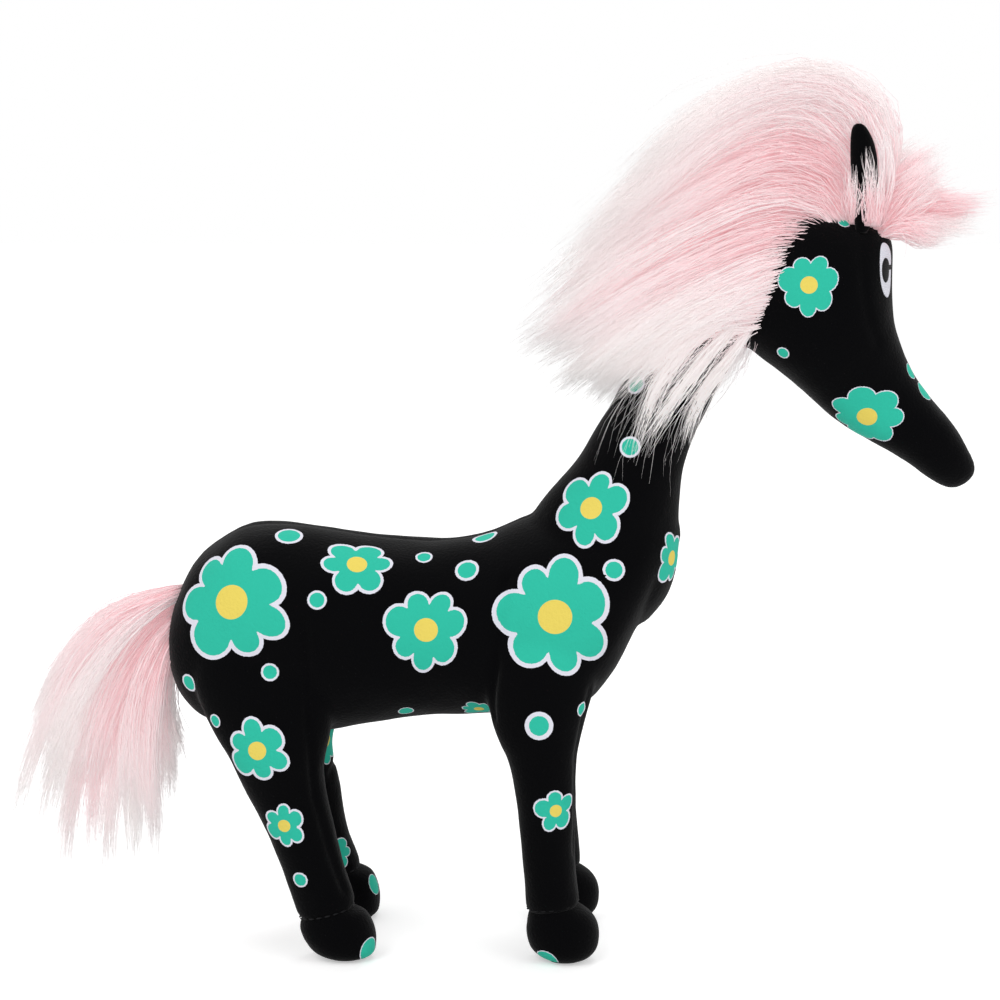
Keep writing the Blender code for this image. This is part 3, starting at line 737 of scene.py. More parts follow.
def printed_pile():
    """Short black pile with the daisies and dots. A daisy is a ring of round petals: the
    angle is folded into one petal, and the distance to that petal's circle decides
    outline, petal or ground. A dot is a single circle."""
    made, tree, shader = plain_material("printed_pile", 0.95, 0.05)

    sums, plus, minus, times = arithmetic(tree)
    across, up, turn = parts_of(tree, "print_place")
    radius, petals, band = parts_of(tree, "print_kind")
    rest = tree.nodes.new("ShaderNodeAttribute")
    rest.attribute_name = "rest_place"
    # the pile blurs the print's edge a little
    fray = tree.nodes.new("ShaderNodeTexNoise")
    fray.inputs["Scale"].default_value = fray_grain
    tree.links.new(rest.outputs["Vector"], fray.inputs["Vector"])
    fray_shift = times(minus(fray.outputs["Fac"], 0.5), fray_width)
    reach = sums("SQRT", plus(times(across, across), times(up, up)))
    angle = plus(sums("ARCTAN2", up, across), turn)
    lean = sums("SINE", plus(times(angle, 2), times(turn, 3)))
    angle = plus(angle, times(lean, petal_lean))
    half_petal = sums("DIVIDE", math.pi, sums("MAXIMUM", petals, 3))
    folded = sums("WRAP", angle, half_petal, times(half_petal, -1))
    wave = sums("SINE", plus(times(angle, 3), times(turn, 5)))
    outer = times(radius, plus(times(wave, uneven_rim), 0.96))
    share = times(sums("SINE", half_petal), petal_fullness)
    ring = sums("DIVIDE", outer, plus(share, 1))
    petal_radius = times(ring, share)
    petal_x = minus(times(reach, sums("COSINE", folded)), ring)
    petal_y = times(reach, sums("SINE", folded))
    petal_reach = sums("SQRT", plus(times(petal_x, petal_x), times(petal_y, petal_y)))
    petal_gap = minus(petal_reach, petal_radius)
    # the notches between the petals are rounded
    core_gap = minus(reach, times(ring, core_share))
    daisy_gap = sums("SMOOTH_MIN", petal_gap, core_gap, times(radius, notch_round))
    dot_gap = minus(reach, radius)
    is_daisy = sums("GREATER_THAN", petals, 0.5)
    gap = plus(times(is_daisy, daisy_gap), times(minus(1, is_daisy), dot_gap))
    gap = plus(gap, fray_shift)
    inside = sums("LESS_THAN", gap, 0)
    filled = sums("LESS_THAN", plus(gap, band), 0)
    yellow = times(is_daisy, sums("LESS_THAN", reach, times(radius, yellow_share)))

    def mixed(share_socket, low, high):
        mix = tree.nodes.new("ShaderNodeMix")
        mix.data_type = "RGBA"
        tree.links.new(share_socket, mix.inputs["Factor"])
        for socket, value in ((mix.inputs["A"], low), (mix.inputs["B"], high)):
            if isinstance(value, tuple):
                socket.default_value = value
            else:
                tree.links.new(value, socket)
        return mix.outputs["Result"]

    colour = mixed(inside, pile_black, outline_white)
    colour = mixed(filled, colour, daisy_green)
    colour = mixed(yellow, colour, middle_yellow)
    tree.links.new(colour, shader.inputs["Base Color"])
    shader.inputs["Sheen Weight"].default_value = 0.10
    shader.inputs["Sheen Roughness"].default_value = 0.4
    pile = tree.nodes.new("ShaderNodeTexNoise")
    pile.inputs["Scale"].default_value = 900
    pile.inputs["Detail"].default_value = 4
    tree.links.new(rest.outputs["Vector"], pile.inputs["Vector"])
    raise_relief(tree, shader, pile.outputs["Fac"], 0.0006)
    return made


printed_fabric = printed_pile()
for part in body_parts.values():
    part.data.materials.append(printed_fabric)


# Long pile: the mane, the tufts at the ears, the forelock and the tail. Each is thousands
# of fine hairs that leave the cloth together, gather into locks and taper to their tips.
# A guide is the run of a hair as the photo shows it: across, down, and how far to the
# left its middle lies and how far the hairs beside it spread, in millimetres.
hair_steps = 9
hair_count = 3400
hair_root_radius = 0.00019
guide_points = 40
# how far the hairs of a lock lie apart, as a share of the guides and of their spread
lock_width, lock_depth = 0.035, 0.22
# a few hairs stray from their lock, and every hair thins out by this share at its tip
stray_share, stray_bend = 0.03, 0.0045
tip_thinner = 0.85
# locks are deepest in colour at this share of the way from the first guide to the last
deepest_share = 0.46
mane_guides = (
    ((884, 220, 0, 6), (893, 165, 0, 9), (887, 112, 0, 11), (850, 78, 0, 12), (800, 66, 0, 12),
     (738, 88, 0, 13), (684, 122, 0, 13), (628, 180, 0, 11), (596, 220, 0, 8)),
    ((868, 220, 0, 6), (868, 160, 0, 10), (840, 116, 0, 12), (800, 100, 0, 13),
     (745, 114, 0, 14), (690, 150, 0, 15), (630, 203, 0, 13), (584, 240, 0, 10), (552, 266, 0, 7)),
    ((858, 226, 0, 9), (840, 172, 0, 11), (800, 146, 0, 13), (755, 152, 0, 15),
     (712, 174, 0, 16), (650, 214, 0, 16), (595, 260, 0, 14), (553, 296, 0, 11), (522, 322, 0, 7)),
    ((848, 232, 0, 13), (812, 194, 0, 12), (756, 193, 0, 16), (694, 224, 0, 18),
     (637, 262, 0, 18), (585, 300, 0, 15), (543, 331, 0, 12), (512, 350, 0, 8)),
    ((838, 244, 0, 16), (794, 232, 0, 16), (742, 246, 0, 20), (690, 274, 0, 21),
     (642, 302, 0, 21), (596, 332, 0, 18), (560, 354, 0, 14), (528, 370, 0, 9)),
    ((818, 268, 0, 17), (776, 268, 0, 19), (732, 288, 0, 22), (690, 312, 0, 23),
     (654, 336, 0, 22), (622, 358, 0, 20), (594, 378, 0, 17), (572, 394, 0, 10)),
    ((782, 298, 0, 17), (756, 302, 0, 20), (731, 309, 0, 21), (704, 318, 0, 22),
     (676, 331, 0, 21), (648, 348, 0, 20), (622, 370, 0, 19), (598, 396, 0, 16)),
    ((768, 326, 0, 16), (746, 330, 0, 19), (722, 328, 0, 21), (700, 330, 0, 22),
     (678, 340, 0, 22), (657, 352, 0, 21), (636, 368, 0, 20), (616, 392, 0, 17)),
)
# three long wisps hang down over each side of the neck, with fine loose hairs between
wisp_guides = (
    (((718, 320, -17, 3), (694, 337, -19, 3), (672, 360, -19, 3), (656, 384, -19, 2),
      (646, 410, -18, 2), (638, 438, -18, 2), (626, 478, -18, 3)),
     ((726, 322, -17, 3), (702, 338, -19, 3), (680, 361, -19, 3), (661, 386, -19, 2),
      (650, 412, -18, 2), (641, 440, -18, 2), (632, 477, -18, 3))),
    (((740, 318, -17, 3), (714, 342, -19, 3), (692, 369, -19, 3), (672, 396, -19, 2),
      (655, 420, -18, 2), (643, 442, -18, 2), (632, 468, -18, 3)),
     ((747, 321, -17, 3), (721, 345, -19, 3), (699, 371, -19, 3), (677, 398, -19, 2),
      (662, 422, -18, 2), (648, 445, -18, 2), (641, 472, -18, 3))),
    (((752, 322, -15, 3), (736, 344, -17, 3), (719, 366, -18, 3), (703, 388, -17, 2),
      (690, 408, -16, 2), (684, 430, -16, 2), (682, 452, -16, 2)),
     ((757, 326, -15, 3), (741, 346, -17, 3), (724, 368, -18, 3), (707, 389, -17, 2),
      (697, 409, -16, 2), (688, 430, -16, 2), (679, 458, -16, 2))),
)
loose_guides = (
    ((716, 320, 0, 18), (684, 340, 0, 21), (654, 368, 0, 20), (634, 396, 0, 19),
     (618, 424, 0, 18), (606, 450, 0, 18), (604, 474, 0, 18)),
    ((740, 320, 0, 18), (708, 350, 0, 21), (676, 386, 0, 20), (656, 416, 0, 19),
     (644, 444, 0, 18), (640, 476, 0, 18), (642, 500, 0, 18)),
    ((758, 326, 0, 16), (742, 346, 0, 18), (722, 370, 0, 19), (704, 394, 0, 18),
     (692, 418, 0, 17), (690, 446, 0, 17), (678, 478, 0, 17)),
)
ear_tuft_guides = (
    ((850, 224, -15, 4), (847, 203, -20, 4), (845, 184, -23, 4), (846, 164, -23, 3)),
    ((858, 225, -16, 4), (858, 204, -21, 4), (859, 185, -23, 4), (861, 163, -24, 3)),
    ((868, 226, -17, 4), (870, 196, -22, 3), (869, 165, -24, 3), (865, 132, -23, 3)),
    ((882, 227, -16, 4), (889, 192, -20, 4), (890, 150, -21, 4), (878, 104, -18, 5)),
)
forelock_guides = (
    ((864, 230, 0, 9), (880, 190, 0, 12), (896, 160, 0, 12), (914, 142, 0, 10), (932, 130, 0, 6)),
    ((868, 232, 0, 10), (898, 194, 0, 14), (926, 176, 0, 13), (960, 165, 0, 7)),
    ((872, 234, 0, 10), (910, 208, 0, 15), (950, 203, 0, 13), (994, 205, 0, 6)),
    ((874, 236, 0, 11), (908, 225, 0, 15), (936, 227, 0, 13), (970, 222, 0, 7)),
    ((876, 238, 0, 12), (896, 230, 0, 14), (920, 236, 0, 13), (950, 238, 0, 8)),
)
tail_guides = (
    ((188, 584, 0, 7), (150, 594, 0, 13), (108, 612, 0, 17), (72, 650, 0, 18),
     (42, 700, 0, 16), (20, 750, 0, 12), (6, 806, 0, 8)),
    ((188, 598, 0, 8), (152, 622, 0, 14), (122, 660, 0, 18), (98, 710, 0, 18),
     (80, 765, 0, 15), (70, 815, 0, 11), (64, 864, 0, 6)),
    ((187, 612, 0, 8), (164, 648, 0, 14), (148, 700, 0, 17), (142, 750, 0, 16),
     (143, 802, 0, 12), (150, 864, 0, 6)),
    ((186, 626, 0, 7), (173, 660, 0, 12), (168, 705, 0, 14), (176, 750, 0, 12),
     (182, 785, 0, 9), (178, 826, 0, 5)),
)


def at_pixels(across, down, side):
    """Arrays of points under pixels, each on its own upright plane to the left."""
    line = (-np.array(toward_camera)
            + np.array(picture_right) * ((across - picture_pixels / 2) / focal_pixels)[..., None]
            + np.array(picture_up) * ((picture_pixels / 2 - down) / focal_pixels)[..., None])
    reach = (side - camera_place.y) / line[..., 1]
    return np.array(camera_place) + line * reach[..., None]


def even_guide(guide, steps):
    """A guide's points at an even distance, after a smooth curve through them."""
    fine = smooth_table(guide, 8)
    reach = reach_along(fine[:, :2])
    return points_at(np.linspace(0, reach[-1], steps), reach, fine)


def other_side(guides):
    """The same guides on the left side of the toy."""
    return [[(across, down, -middle, spread) for across, down, middle, spread in guide]
            for guide in guides]


def hair(name, guides, count, locks, seed, lock_seed=7, gather=0.75, loose=1.0,
         shortest=0.75, longest=1.0, radius=hair_root_radius, steps=hair_steps,
         sway=0.0, pale_edges=0.0, pale=0.0):
    """A mesh of tapered hairs. A hair lies between two guides at a share t, keeps its
    own side, is drawn towards its lock's middle as it runs out, and ends at its own
    length. Two slow waves bend it away a little, more towards the tip."""
    chance = np.random.default_rng(seed)
    fine = np.stack([even_guide(guide, guide_points) for guide in guides])
    lock_chance = np.random.default_rng(lock_seed)
    lock_share = (np.arange(locks) + lock_chance.random(locks)) / locks
    lock_side = lock_chance.uniform(-1, 1, locks)
    lock_reach = lock_chance.uniform(shortest, longest, locks)
    edge_share = (np.abs(lock_share - deepest_share) / (1 - deepest_share)) ** 1.5
    lock_shade = (lock_chance.random(locks) * (1 - 0.5 * pale_edges) + pale_edges * edge_share
                  + pale)
    own = chance.integers(0, locks, count)
    share = np.clip(lock_share[own] + chance.normal(0, lock_width, count), 0, 1)
    side = np.clip(lock_side[own] + chance.normal(0, lock_depth, count), -1.15, 1.15)
    length = lock_reach[own] * chance.uniform(0.82, 1.04, count)
    run = np.linspace(0, 1, steps + 1)

    def course(shares, sides, lengths):
        place = shares * (len(guides) - 1)
        low = np.minimum(place.astype(int), len(guides) - 2)
        part = (place - low)[:, None, None]
        spot = np.clip(lengths[:, None] * run, 0, 1.04) * (guide_points - 1)
        step = np.minimum(spot.astype(int), guide_points - 2)
        rest = (spot - step)[..., None]
        first = fine[low[:, None], step] * (1 - rest) + fine[low[:, None], step + 1] * rest
        second = (fine[low[:, None] + 1, step] * (1 - rest)
                  + fine[low[:, None] + 1, step + 1] * rest)
        mixed = first * (1 - part) + second * part
        sideways = (mixed[..., 2] + mixed[..., 3] * sides[:, None]) / 1000
        return at_pixels(mixed[..., 0], mixed[..., 1], sideways)

    own_course = course(share, side, length)
    lock_course = course(lock_share[own], lock_side[own], length)
    pull = (gather * run ** 1.3)[None, :, None]
    path = own_course * (1 - pull) + lock_course * pull
    # each lock as a whole swings a little out of line
    lock_phase = lock_chance.uniform(0, 2 * np.pi, (locks, 1, 3))[own]
    lock_swing = np.sin(run[None, :, None] * 4.5 + lock_phase) - np.sin(lock_phase)
    path = path + lock_swing * sway * (run ** 0.7)[None, :, None]
    for scale, speed in ((0.0012, 3.1), (0.0006, 7.3)):
        phase = chance.uniform(0, 2 * np.pi, (count, 1, 3))
        swing = np.sin(run[None, :, None] * speed + phase) - np.sin(phase)
        path = path + swing * scale * loose * chance.uniform(0.3, 1.4, (count, 1, 1))
    stray = chance.random(count) < stray_share
    bend = chance.normal(0, stray_bend, (count, 1, 3)) * (run ** 2)[None, :, None]
    path = path + bend * stray[:, None, None] * loose
    along = np.gradient(path, axis=1)
    along /= np.linalg.norm(along, axis=2)[..., None] + 1e-9
    across_way = np.cross(along, (0.0, 1.0, 0.02))
    across_way /= np.linalg.norm(across_way, axis=2)[..., None] + 1e-9
    other_way = np.cross(along, across_way)
    thinner = (1 - tip_thinner * run ** 2)[None, :, None]
    thick = radius * thinner * chance.uniform(0.8, 1.3, (count, 1, 1))
    rings = np.stack([path + thick * (across_way * math.cos(angle) + other_way * math.sin(angle))
                      for angle in (0, 2 * math.pi / 3, 4 * math.pi / 3)], axis=2)
    per_hair = (steps + 1) * 3
    points = rings.reshape(-1, 3)
    index = np.arange(per_hair).reshape(steps + 1, 3)
    starts = np.arange(count) * per_hair
    quads = (ring_walls(index)[None] + starts[:, None, None]).reshape(-1, 4)
    root_caps = (np.array((2, 1, 0))[None] + starts[:, None])
    tip_caps = (index[-1][None] + starts[:, None])
    corners = np.concatenate((quads.ravel(), root_caps.ravel(), tip_caps.ravel()))
    sizes = np.concatenate((np.full(len(quads), 4), np.full(2 * count, 3)))
    mesh = bpy.data.meshes.new(name)
    mesh.vertices.add(len(points))
    mesh.vertices.foreach_set("co", points.ravel())
    mesh.loops.add(len(corners))
    mesh.loops.foreach_set("vertex_index", corners)
    mesh.polygons.add(len(sizes))
    mesh.polygons.foreach_set("loop_start", np.concatenate(((0,), np.cumsum(sizes)[:-1])))
    mesh.polygons.foreach_set("use_smooth", np.ones(len(sizes), dtype=bool))
    mesh.update(calc_edges=True)
    shades = (run[None] * length[:, None], chance.random(count)[:, None],
              lock_shade[own][:, None])
    shade = np.stack([np.broadcast_to(one, (count, steps + 1)) for one in shades], -1)
    keep_vectors(mesh, "strand", "POINT", np.repeat(shade[:, :, None], 3, axis=2))
    return placed(name, mesh)


def pink_pile():
    """Dyed acrylic pile: deeper pink at the root, paler along the hair, nearly white at the
    tip, with paler and deeper locks and hairs among them. It also glows faintly in its own
    colour, a little more towards the tip: painted light in place of the light passed on
    from hair to hair."""
    made, tree, shader = plain_material("pink_pile", 0.55, 0.25)

    sums, plus, minus, times = arithmetic(tree)
    run, own, lock = parts_of(tree, "strand")
    # how much a hair's own shade and its lock's count
    shift = plus(times(minus(own, 0.5), 0.35), times(minus(lock, 0.5), 0.75))
    place = plus(run, shift)
    ramp = tree.nodes.new("ShaderNodeValToRGB")
    tree.links.new(place, ramp.inputs["Fac"])
    stops = ((0.0, (0.92, 0.67, 0.695, 1)), (0.25, (0.925, 0.77, 0.785, 1)),
             (0.55, (0.925, 0.85, 0.855, 1)), (0.95, (0.92, 0.885, 0.88, 1)))
    while len(ramp.color_ramp.elements) < len(stops):
        ramp.color_ramp.elements.new(0.5)
    for element, (where, colour) in zip(ramp.color_ramp.elements, stops):
        element.position = where
        element.color = colour
    tree.links.new(ramp.outputs["Color"], shader.inputs["Base Color"])
    # painted light: the hair glows in its own colour, a little more towards the tip, in place
    # of the light that passes on from hair to hair, which a solid strand does not show by itself
    tree.links.new(ramp.outputs["Color"], shader.inputs["Emission Color"])
    tree.links.new(plus(times(place, 0.02), 0.155), shader.inputs["Emission Strength"])
    return made


pile_hair = pink_pile()
mane_parts = [hair(f"mane_locks_{number}", mane_guides, hair_count, 110, 10 + number,
                   gather=0.88, loose=1.6, shortest=0.64, sway=0.0024, pale_edges=0.8)
              for number in range(1, 6)]
for number, guides in enumerate(wisp_guides):
    for side, side_guides, seed in (("right", guides, 30), ("left", other_side(guides), 35)):
        mane_parts.append(hair(f"{side}_wisp_{number + 1}", side_guides, 90, 5, seed + number,
                               gather=0.8, loose=1.1, shortest=0.85, pale=0.45))
mane_parts.append(hair("mane_loose_hairs", loose_guides, 1100, 300, 40, gather=0.2, loose=3.2,
                       radius=0.00008, shortest=0.35, pale=0.6))
mane_parts.append(hair("mane_undercoat", mane_guides, 4500, 300, 29, gather=0.2, loose=0.8,
                       radius=0.00024, shortest=0.14, longest=0.30, steps=4, pale_edges=0.8))
forelock_locks = hair("forelock_locks", forelock_guides, hair_count, 28, 41, gather=0.92,
                      loose=1.2, shortest=0.6, sway=0.0014, pale=-0.36)
ear_tufts = [hair(side + "_ear_tuft", guides, 330, 13, seed, gather=0.97, shortest=0.3,
                  pale=-0.2)
             for side, guides, seed in (("right", ear_tuft_guides, 43),
                                        ("left", other_side(ear_tuft_guides), 44))]
tail_parts = [hair(f"tail_locks_{number}", tail_guides, hair_count, 34, 50 + number,
                   lock_seed=52, gather=0.9, loose=1.2, shortest=0.6, sway=0.0018, pale_edges=0.5)
              for number in range(1, 3)]
for part in mane_parts + [forelock_locks] + ear_tufts + tail_parts:
    part.data.materials.append(pile_hair)
for part in mane_parts:
    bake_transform(part)
    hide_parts("mane")
for part in [forelock_locks] + ear_tufts:
    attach(part, "head")
    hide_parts("forelock")
for part in tail_parts:
    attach(part, "tail")
    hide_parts("tail")


# Hooves and soles: stuffed ends of the same black fabric, sewn on at a sloping ankle
# seam with short stitches, each closed below by a flat round sole.
# rows: height share, rear and front share of the hoof's length, width share
hoof_rows = {
    "hind": ((0.00, 0.42, 0.86, 0.50), (0.04, 0.33, 0.98, 0.72), (0.13, 0.21, 1.05, 0.88),
             (0.27, 0.12, 1.07, 0.97), (0.45, 0.06, 1.07, 1.00), (0.62, 0.03, 1.03, 0.97),
             (0.78, 0.01, 0.96, 0.90), (0.90, 0.01, 0.87, 0.84), (1.00, 0.03, 0.76, 0.80),
             (1.06, 0.10, 0.66, 0.68), (1.10, 0.25, 0.50, 0.35)),
    "front": ((0.00, 0.36, 0.72, 0.50), (0.04, 0.26, 0.85, 0.72), (0.13, 0.14, 0.94, 0.88),
              (0.27, 0.05, 1.00, 0.97), (0.48, 0.01, 1.02, 1.00), (0.66, 0.00, 0.99, 0.97),
              (0.80, 0.01, 0.92, 0.90), (0.92, 0.02, 0.83, 0.83), (1.00, 0.04, 0.75, 0.79),
              (1.06, 0.12, 0.65, 0.68), (1.10, 0.25, 0.50, 0.35)),
}
hoof_marks_seen = {"hind_right": ((370, 950, 26, 0, 0, 1),),
                   "front_right": ((547, 959, 24, 0, 0, 1),),
                   "hind_left": ((375, 884, 22, 0, 0, 0.6),), "front_left": ()}
# a sole's sections: their heights above its lowest place, and their size shares
sole_rise = np.array((0.0, 0.0, 0.0004, 0.0012, 0.0020, 0.0024))
sole_size = np.array((0.90, 0.97, 1.0, 1.0, 0.96, 0.80))
sole_share = 0.62
sole_gap = 0.0006
# a hoof's top takes on the ankle's slope from this share of its height, over this share
tilt_from, tilt_reach = 0.35, 0.5
hoof_power, around_hoof = 2.2, 64
stitch_pitch = 0.0034
stitch_length = 0.0024
stitch_radius = 0.00035
# the ring of stitches lies just under the leg's skin and just below its row
ring_share, ring_power, ring_drop = 0.96, 0.93, 0.0012


def stitches(name, path):
    """A run of short stitches along a path: each is a small six-sided bead that is
    thickest in its middle and sinks into the cloth at both ends."""
    reach = reach_along(path)
    parts = []
    for start in np.arange(0, reach[-1] - stitch_length, stitch_pitch):
        marks = np.linspace(start, start + stitch_length, 6)
        line = points_at(marks, reach, path)
        swell = stitch_radius * np.sqrt(np.maximum(1 - np.linspace(-1, 1, 6) ** 2, 0.03))
        along = line[-1] - line[0]
        along /= np.linalg.norm(along)
        first = np.cross(along, (0.1, 0.2, 0.97))
        first /= np.linalg.norm(first)
        second = np.cross(along, first)
        turn = np.arange(6) * math.pi / 3
        rings = (line[:, None] + swell[:, None, None]
                 * (np.cos(turn)[:, None] * first + np.sin(turn)[:, None] * second))
        index = np.arange(36).reshape(6, 6)
        after = np.roll(index, -1, axis=1)
        quads = np.stack((index[:-1], index[1:], after[1:], after[:-1]), -1).reshape(-1, 4)
        faces = [tuple(face) for face in quads.tolist()]
        faces += [tuple(index[0].tolist()), tuple(index[-1][::-1].tolist())]
        parts.append((rings.reshape(-1, 3), faces))
    return formed(name, parts)


def thread(name, colour, roughness):
    made, tree, shader = plain_material(name, roughness, 0.2)
    shader.inputs["Base Color"].default_value = colour
    # satin stitches: fine level ridges
    place = tree.nodes.new("ShaderNodeTexCoord")
    ridges = tree.nodes.new("ShaderNodeTexWave")
    ridges.bands_direction = "Z"
    ridges.inputs["Scale"].default_value = 420
    ridges.inputs["Distortion"].default_value = 1.2
    tree.links.new(place.outputs["Object"], ridges.inputs["Vector"])
    raise_relief(tree, shader, ridges.outputs["Fac"], 0.0003)
    return made


black_thread = thread("black_thread", (0.003, 0.003, 0.004, 1), 0.65)
white_thread = thread("white_thread", (0.70, 0.70, 0.77, 1), 0.5)


def finished_print(obj, marks):
    """The rest places and the print's attributes that the fabric reads."""
    obj.data.polygons.foreach_set("use_smooth", [True] * len(obj.data.polygons))
    keep_vectors(obj.data, "rest_place", "POINT", vectors_of(obj.data.vertices))
    lay_print(obj, marks)
    obj.data.materials.append(printed_fabric)


no_mark = (np.array((9.0, 9.0, 9.0)), np.array((1.0, 0, 0)), 0.001, 0, 0.0, 0.0)
for pair in ("hind", "front"):
    for side_name, side in (("right", -1), ("left", 1)):
        limb = f"{pair}_{side_name}"
        leg = limb + "_leg"
        low, high = (np.array(corner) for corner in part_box(limb + "_hoof"))
        sole_low, sole_high = (np.array(corner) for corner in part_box(limb + "_sole"))
        table = smooth_table(hoof_rows[pair], rows_between)
        rise = sole_gap + (high[2] - sole_gap) * table[:, 0]
        rear = low[0] + (high[0] - low[0]) * table[:, 1]
        toe = low[0] + (high[0] - low[0]) * table[:, 2]
        centres = np.stack(((rear + toe) / 2, np.full(len(rise), (low[1] + high[1]) / 2), rise), -1)
        points, faces = tube_grid(centres, (0, 0, 1), (toe - rear) / 2,
                                  table[:, 3] * (high[1] - low[1]) / 2, hoof_power,
                                  around_hoof)
        high_share = np.clip((points[:, 2] / high[2] - tilt_from) / tilt_reach, 0, 1)
        points[:, 2] += (ankle_tilt[pair] * high_share
                         * (points[:, 0] - centres[:, 0].mean()))
        if limb == "hind_left":
            points[:, 0] -= slimmed(points[:, 0], centres[0, 0])
        hoof = formed(limb + "_hoof_form", [(points, faces)])
        finished_print(hoof, [no_mark] + marks_on(tree_of(hoof.data), hoof_marks_seen[limb]))
        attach(hoof, leg)
        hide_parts(limb + "_hoof")

        sole_middle = (sole_low + sole_high) / 2
        sole_middle[0] = (rear[0] + toe[0]) / 2
        centres = np.tile(sole_middle, (len(sole_rise), 1))
        centres[:, 2] = sole_low[2] + sole_rise
        size = (sole_high - sole_low) / 2 * sole_share
        sole_tube = tube_grid(centres, (0, 0, 1), size[0] * sole_size, size[1] * sole_size,
                              hoof_power, around_hoof)
        sole = formed(limb + "_sole_patch", [sole_tube])
        finished_print(sole, [no_mark])
        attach(sole, leg)
        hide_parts(limb + "_sole")

        ankle_rise, ankle_x, ankle_depth, ankle_width = leg_rows[pair][-3]
        ankle_x += middle_shift
        turn = np.linspace(0, 2 * np.pi, 120)
        ring_x = ankle_x + ankle_depth * ring_share * signed_power(np.cos(turn), ring_power)
        ring_y = (side * leg_spread
                  + ankle_width * ring_share * signed_power(np.sin(turn), ring_power))
        ring_z = ankle_rise - ring_drop + ankle_tilt[pair] * (ring_x - ankle_x)
        if limb == "hind_left":
            ring_x -= slimmed(ring_x, ankle_x)
        seam = stitches(limb + "_ankle_stitches", np.stack((ring_x, ring_y, ring_z), -1))
        seam.data.materials.append(black_thread)
        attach(seam, leg)


# Ears: two flat layers of the black fabric turned and cupped a little, open to the front.
# rows: height share, rear and front share of the ear's width, half thickness
ear_rows = (
    (0.09, 0.36, 0.70, 0.0020), (0.16, 0.32, 0.84, 0.0032), (0.30, 0.24, 1.00, 0.0042),
    (0.50, 0.19, 1.04, 0.0038), (0.70, 0.15, 1.00, 0.0032), (0.84, 0.14, 0.88, 0.0027),
    (0.93, 0.16, 0.72, 0.0022), (0.98, 0.22, 0.58, 0.0015), (1.00, 0.32, 0.46, 0.0006),
)
ear_cup = 0.0016
ear_lean = 0.0030
ear_root_share = 0.30
for side_name, side in (("right", -1), ("left", 1)):
    low, high = (np.array(corner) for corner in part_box(side_name + "_ear"))
    table = smooth_table(ear_rows, rows_between)
    rear = low[0] + (high[0] - low[0]) * table[:, 1]
    edge = low[0] + (high[0] - low[0]) * table[:, 2]
    centres = np.stack(((rear + edge) / 2, np.full(len(rear), (low[1] + high[1]) / 2),
                        low[2] + (high[2] - low[2]) * table[:, 0]), -1)
    points, faces = tube_grid(centres, (0, 0, 1), (edge - rear) / 2, table[:, 3], 2.0, 40)
    # cupping: the middle of the ear stands out to the side, its edges turn forwards
    ear_middle = (low + high) / 2
    along_width = (points[:, 0] - ear_middle[0]) / ((high[0] - low[0]) / 2)
    points[:, 1] += side * ear_cup * (0.5 - along_width ** 2)
    # the root leans in under the cloth of the head
    rise = (points[:, 2] - low[2]) / (high[2] - low[2])
    root_share = np.clip(ear_root_share - rise, 0, 1) / ear_root_share
    points[:, 1] -= side * ear_lean * root_share ** 2
    ear = formed(side_name + "_ear_leaf", [(points, faces)])
    finished_print(ear, [no_mark])
    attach(ear, side_name + "_ear")
    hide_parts(side_name + "_ear")


# Eyes: an upright white oval with a narrow black pupil, both satin-stitched on the cloth.
# The pupil's thread runs on to the front edge of the white as a small bar.
# rings of an oval: size share and height in thicknesses of the stitches
oval_rings = ((1.00, -0.4), (1.0, 0.35), (0.97, 0.75), (0.90, 1.0), (0.72, 1.1), (0.48, 1.15),
              (0.22, 1.2))
oval_around = 48
# the ovals are cast onto the cloth from this far in front of the eye's middle
before_eye = 0.03
eye_turn = math.radians(33)
white_half_width, white_lift = 0.0048, 0.0004
pupil_half_width, pupil_lift, pupil_back = 0.0028, 0.0008, 0.0014
bar_half_height, bar_half_width, bar_lift = 0.0010, 0.0019, 0.0006
bar_forward, bar_up = 0.0028, 0.0010


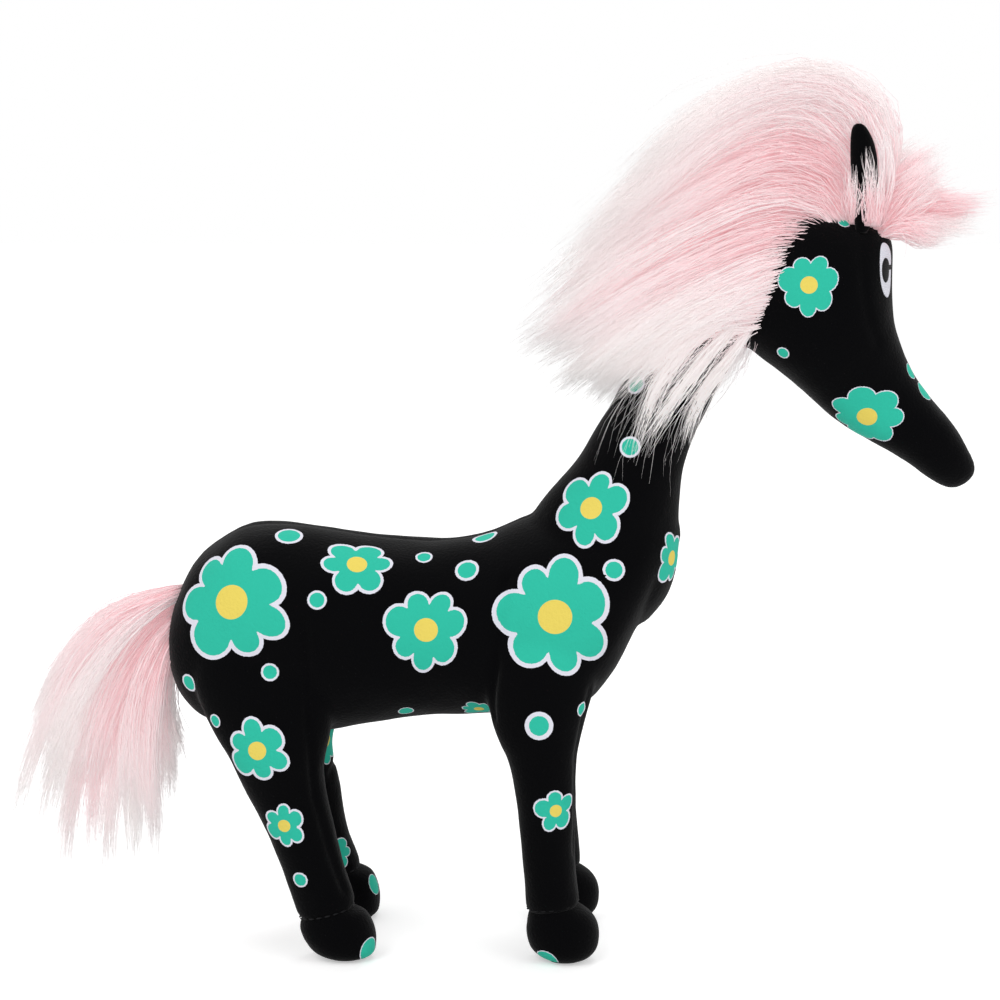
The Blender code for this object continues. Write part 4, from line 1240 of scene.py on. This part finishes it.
def stitched_oval(name, middle, axis, half_height, half_width, lift, body, material):
    """A low pad that lies on the head: rings of an oval are cast onto the skin along
    the eye's axis, lifted by the stitches' thickness and turned down at the rim."""
    upright = np.array((0.0, 0.0, 1.0))
    sideways = np.cross(upright, axis)
    points = []
    for size, height in oval_rings:
        for number in range(oval_around):
            turn = 2 * math.pi * number / oval_around
            spot = (middle + upright * half_height * size * math.cos(turn)
                    + sideways * half_width * size * math.sin(turn))
            hit, _, _, _ = skin_tree.ray_cast(Vector(spot + axis * before_eye), Vector(-axis))
            if hit is None:
                hit = Vector(spot)
            points.append(tuple(np.array(hit) + axis * lift * height))
    top, _, _, _ = skin_tree.ray_cast(Vector(middle + axis * before_eye), Vector(-axis))
    points.append(tuple(np.array(top) + axis * lift * 1.2))
    points.append(tuple(np.array(top) - axis * lift * 1.5))
    index = np.arange(len(oval_rings) * oval_around).reshape(len(oval_rings), oval_around)
    faces = [tuple(face) for face in ring_walls(index).tolist()]
    last = (len(oval_rings) - 1) * oval_around
    for number in range(oval_around):
        after = (number + 1) % oval_around
        faces.append((last + number, last + after, len(points) - 2))
        faces.append((after, number, len(points) - 1))
    made = formed(name, [(np.array(points), faces)])
    made.data.polygons.foreach_set("use_smooth", [True] * len(faces))
    made.data.materials.append(material)
    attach(made, body)
    return made


for side_name, side in (("right", -1), ("left", 1)):
    low, high = (np.array(corner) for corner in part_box(side_name + "_eye_white"))
    pupil_low, pupil_high = (np.array(corner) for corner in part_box(side_name + "_pupil"))
    axis = np.array((math.cos(eye_turn), side * math.sin(eye_turn), 0.0))
    middle = (low + high) / 2 + np.array((-0.0023, side * 0.0018, 0.0009))
    to_front = np.cross((0, 0, 1.0), axis) * -side
    white = stitched_oval(side_name + "_eye_oval", middle, axis, (high[2] - low[2]) / 2,
                          white_half_width, white_lift, "head", white_thread)
    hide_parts(side_name + "_eye_white")
    pupil = stitched_oval(side_name + "_pupil_oval", middle - to_front * pupil_back, axis,
                          (pupil_high[2] - pupil_low[2]) / 2, pupil_half_width, pupil_lift,
                          "head", black_thread)
    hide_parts(side_name + "_pupil")
    bar_middle = middle + np.array((0, 0, bar_up)) + to_front * bar_forward
    stitched_oval(side_name + "_pupil_bar", bar_middle, axis, bar_half_height, bar_half_width,
                  bar_lift, "head", black_thread)
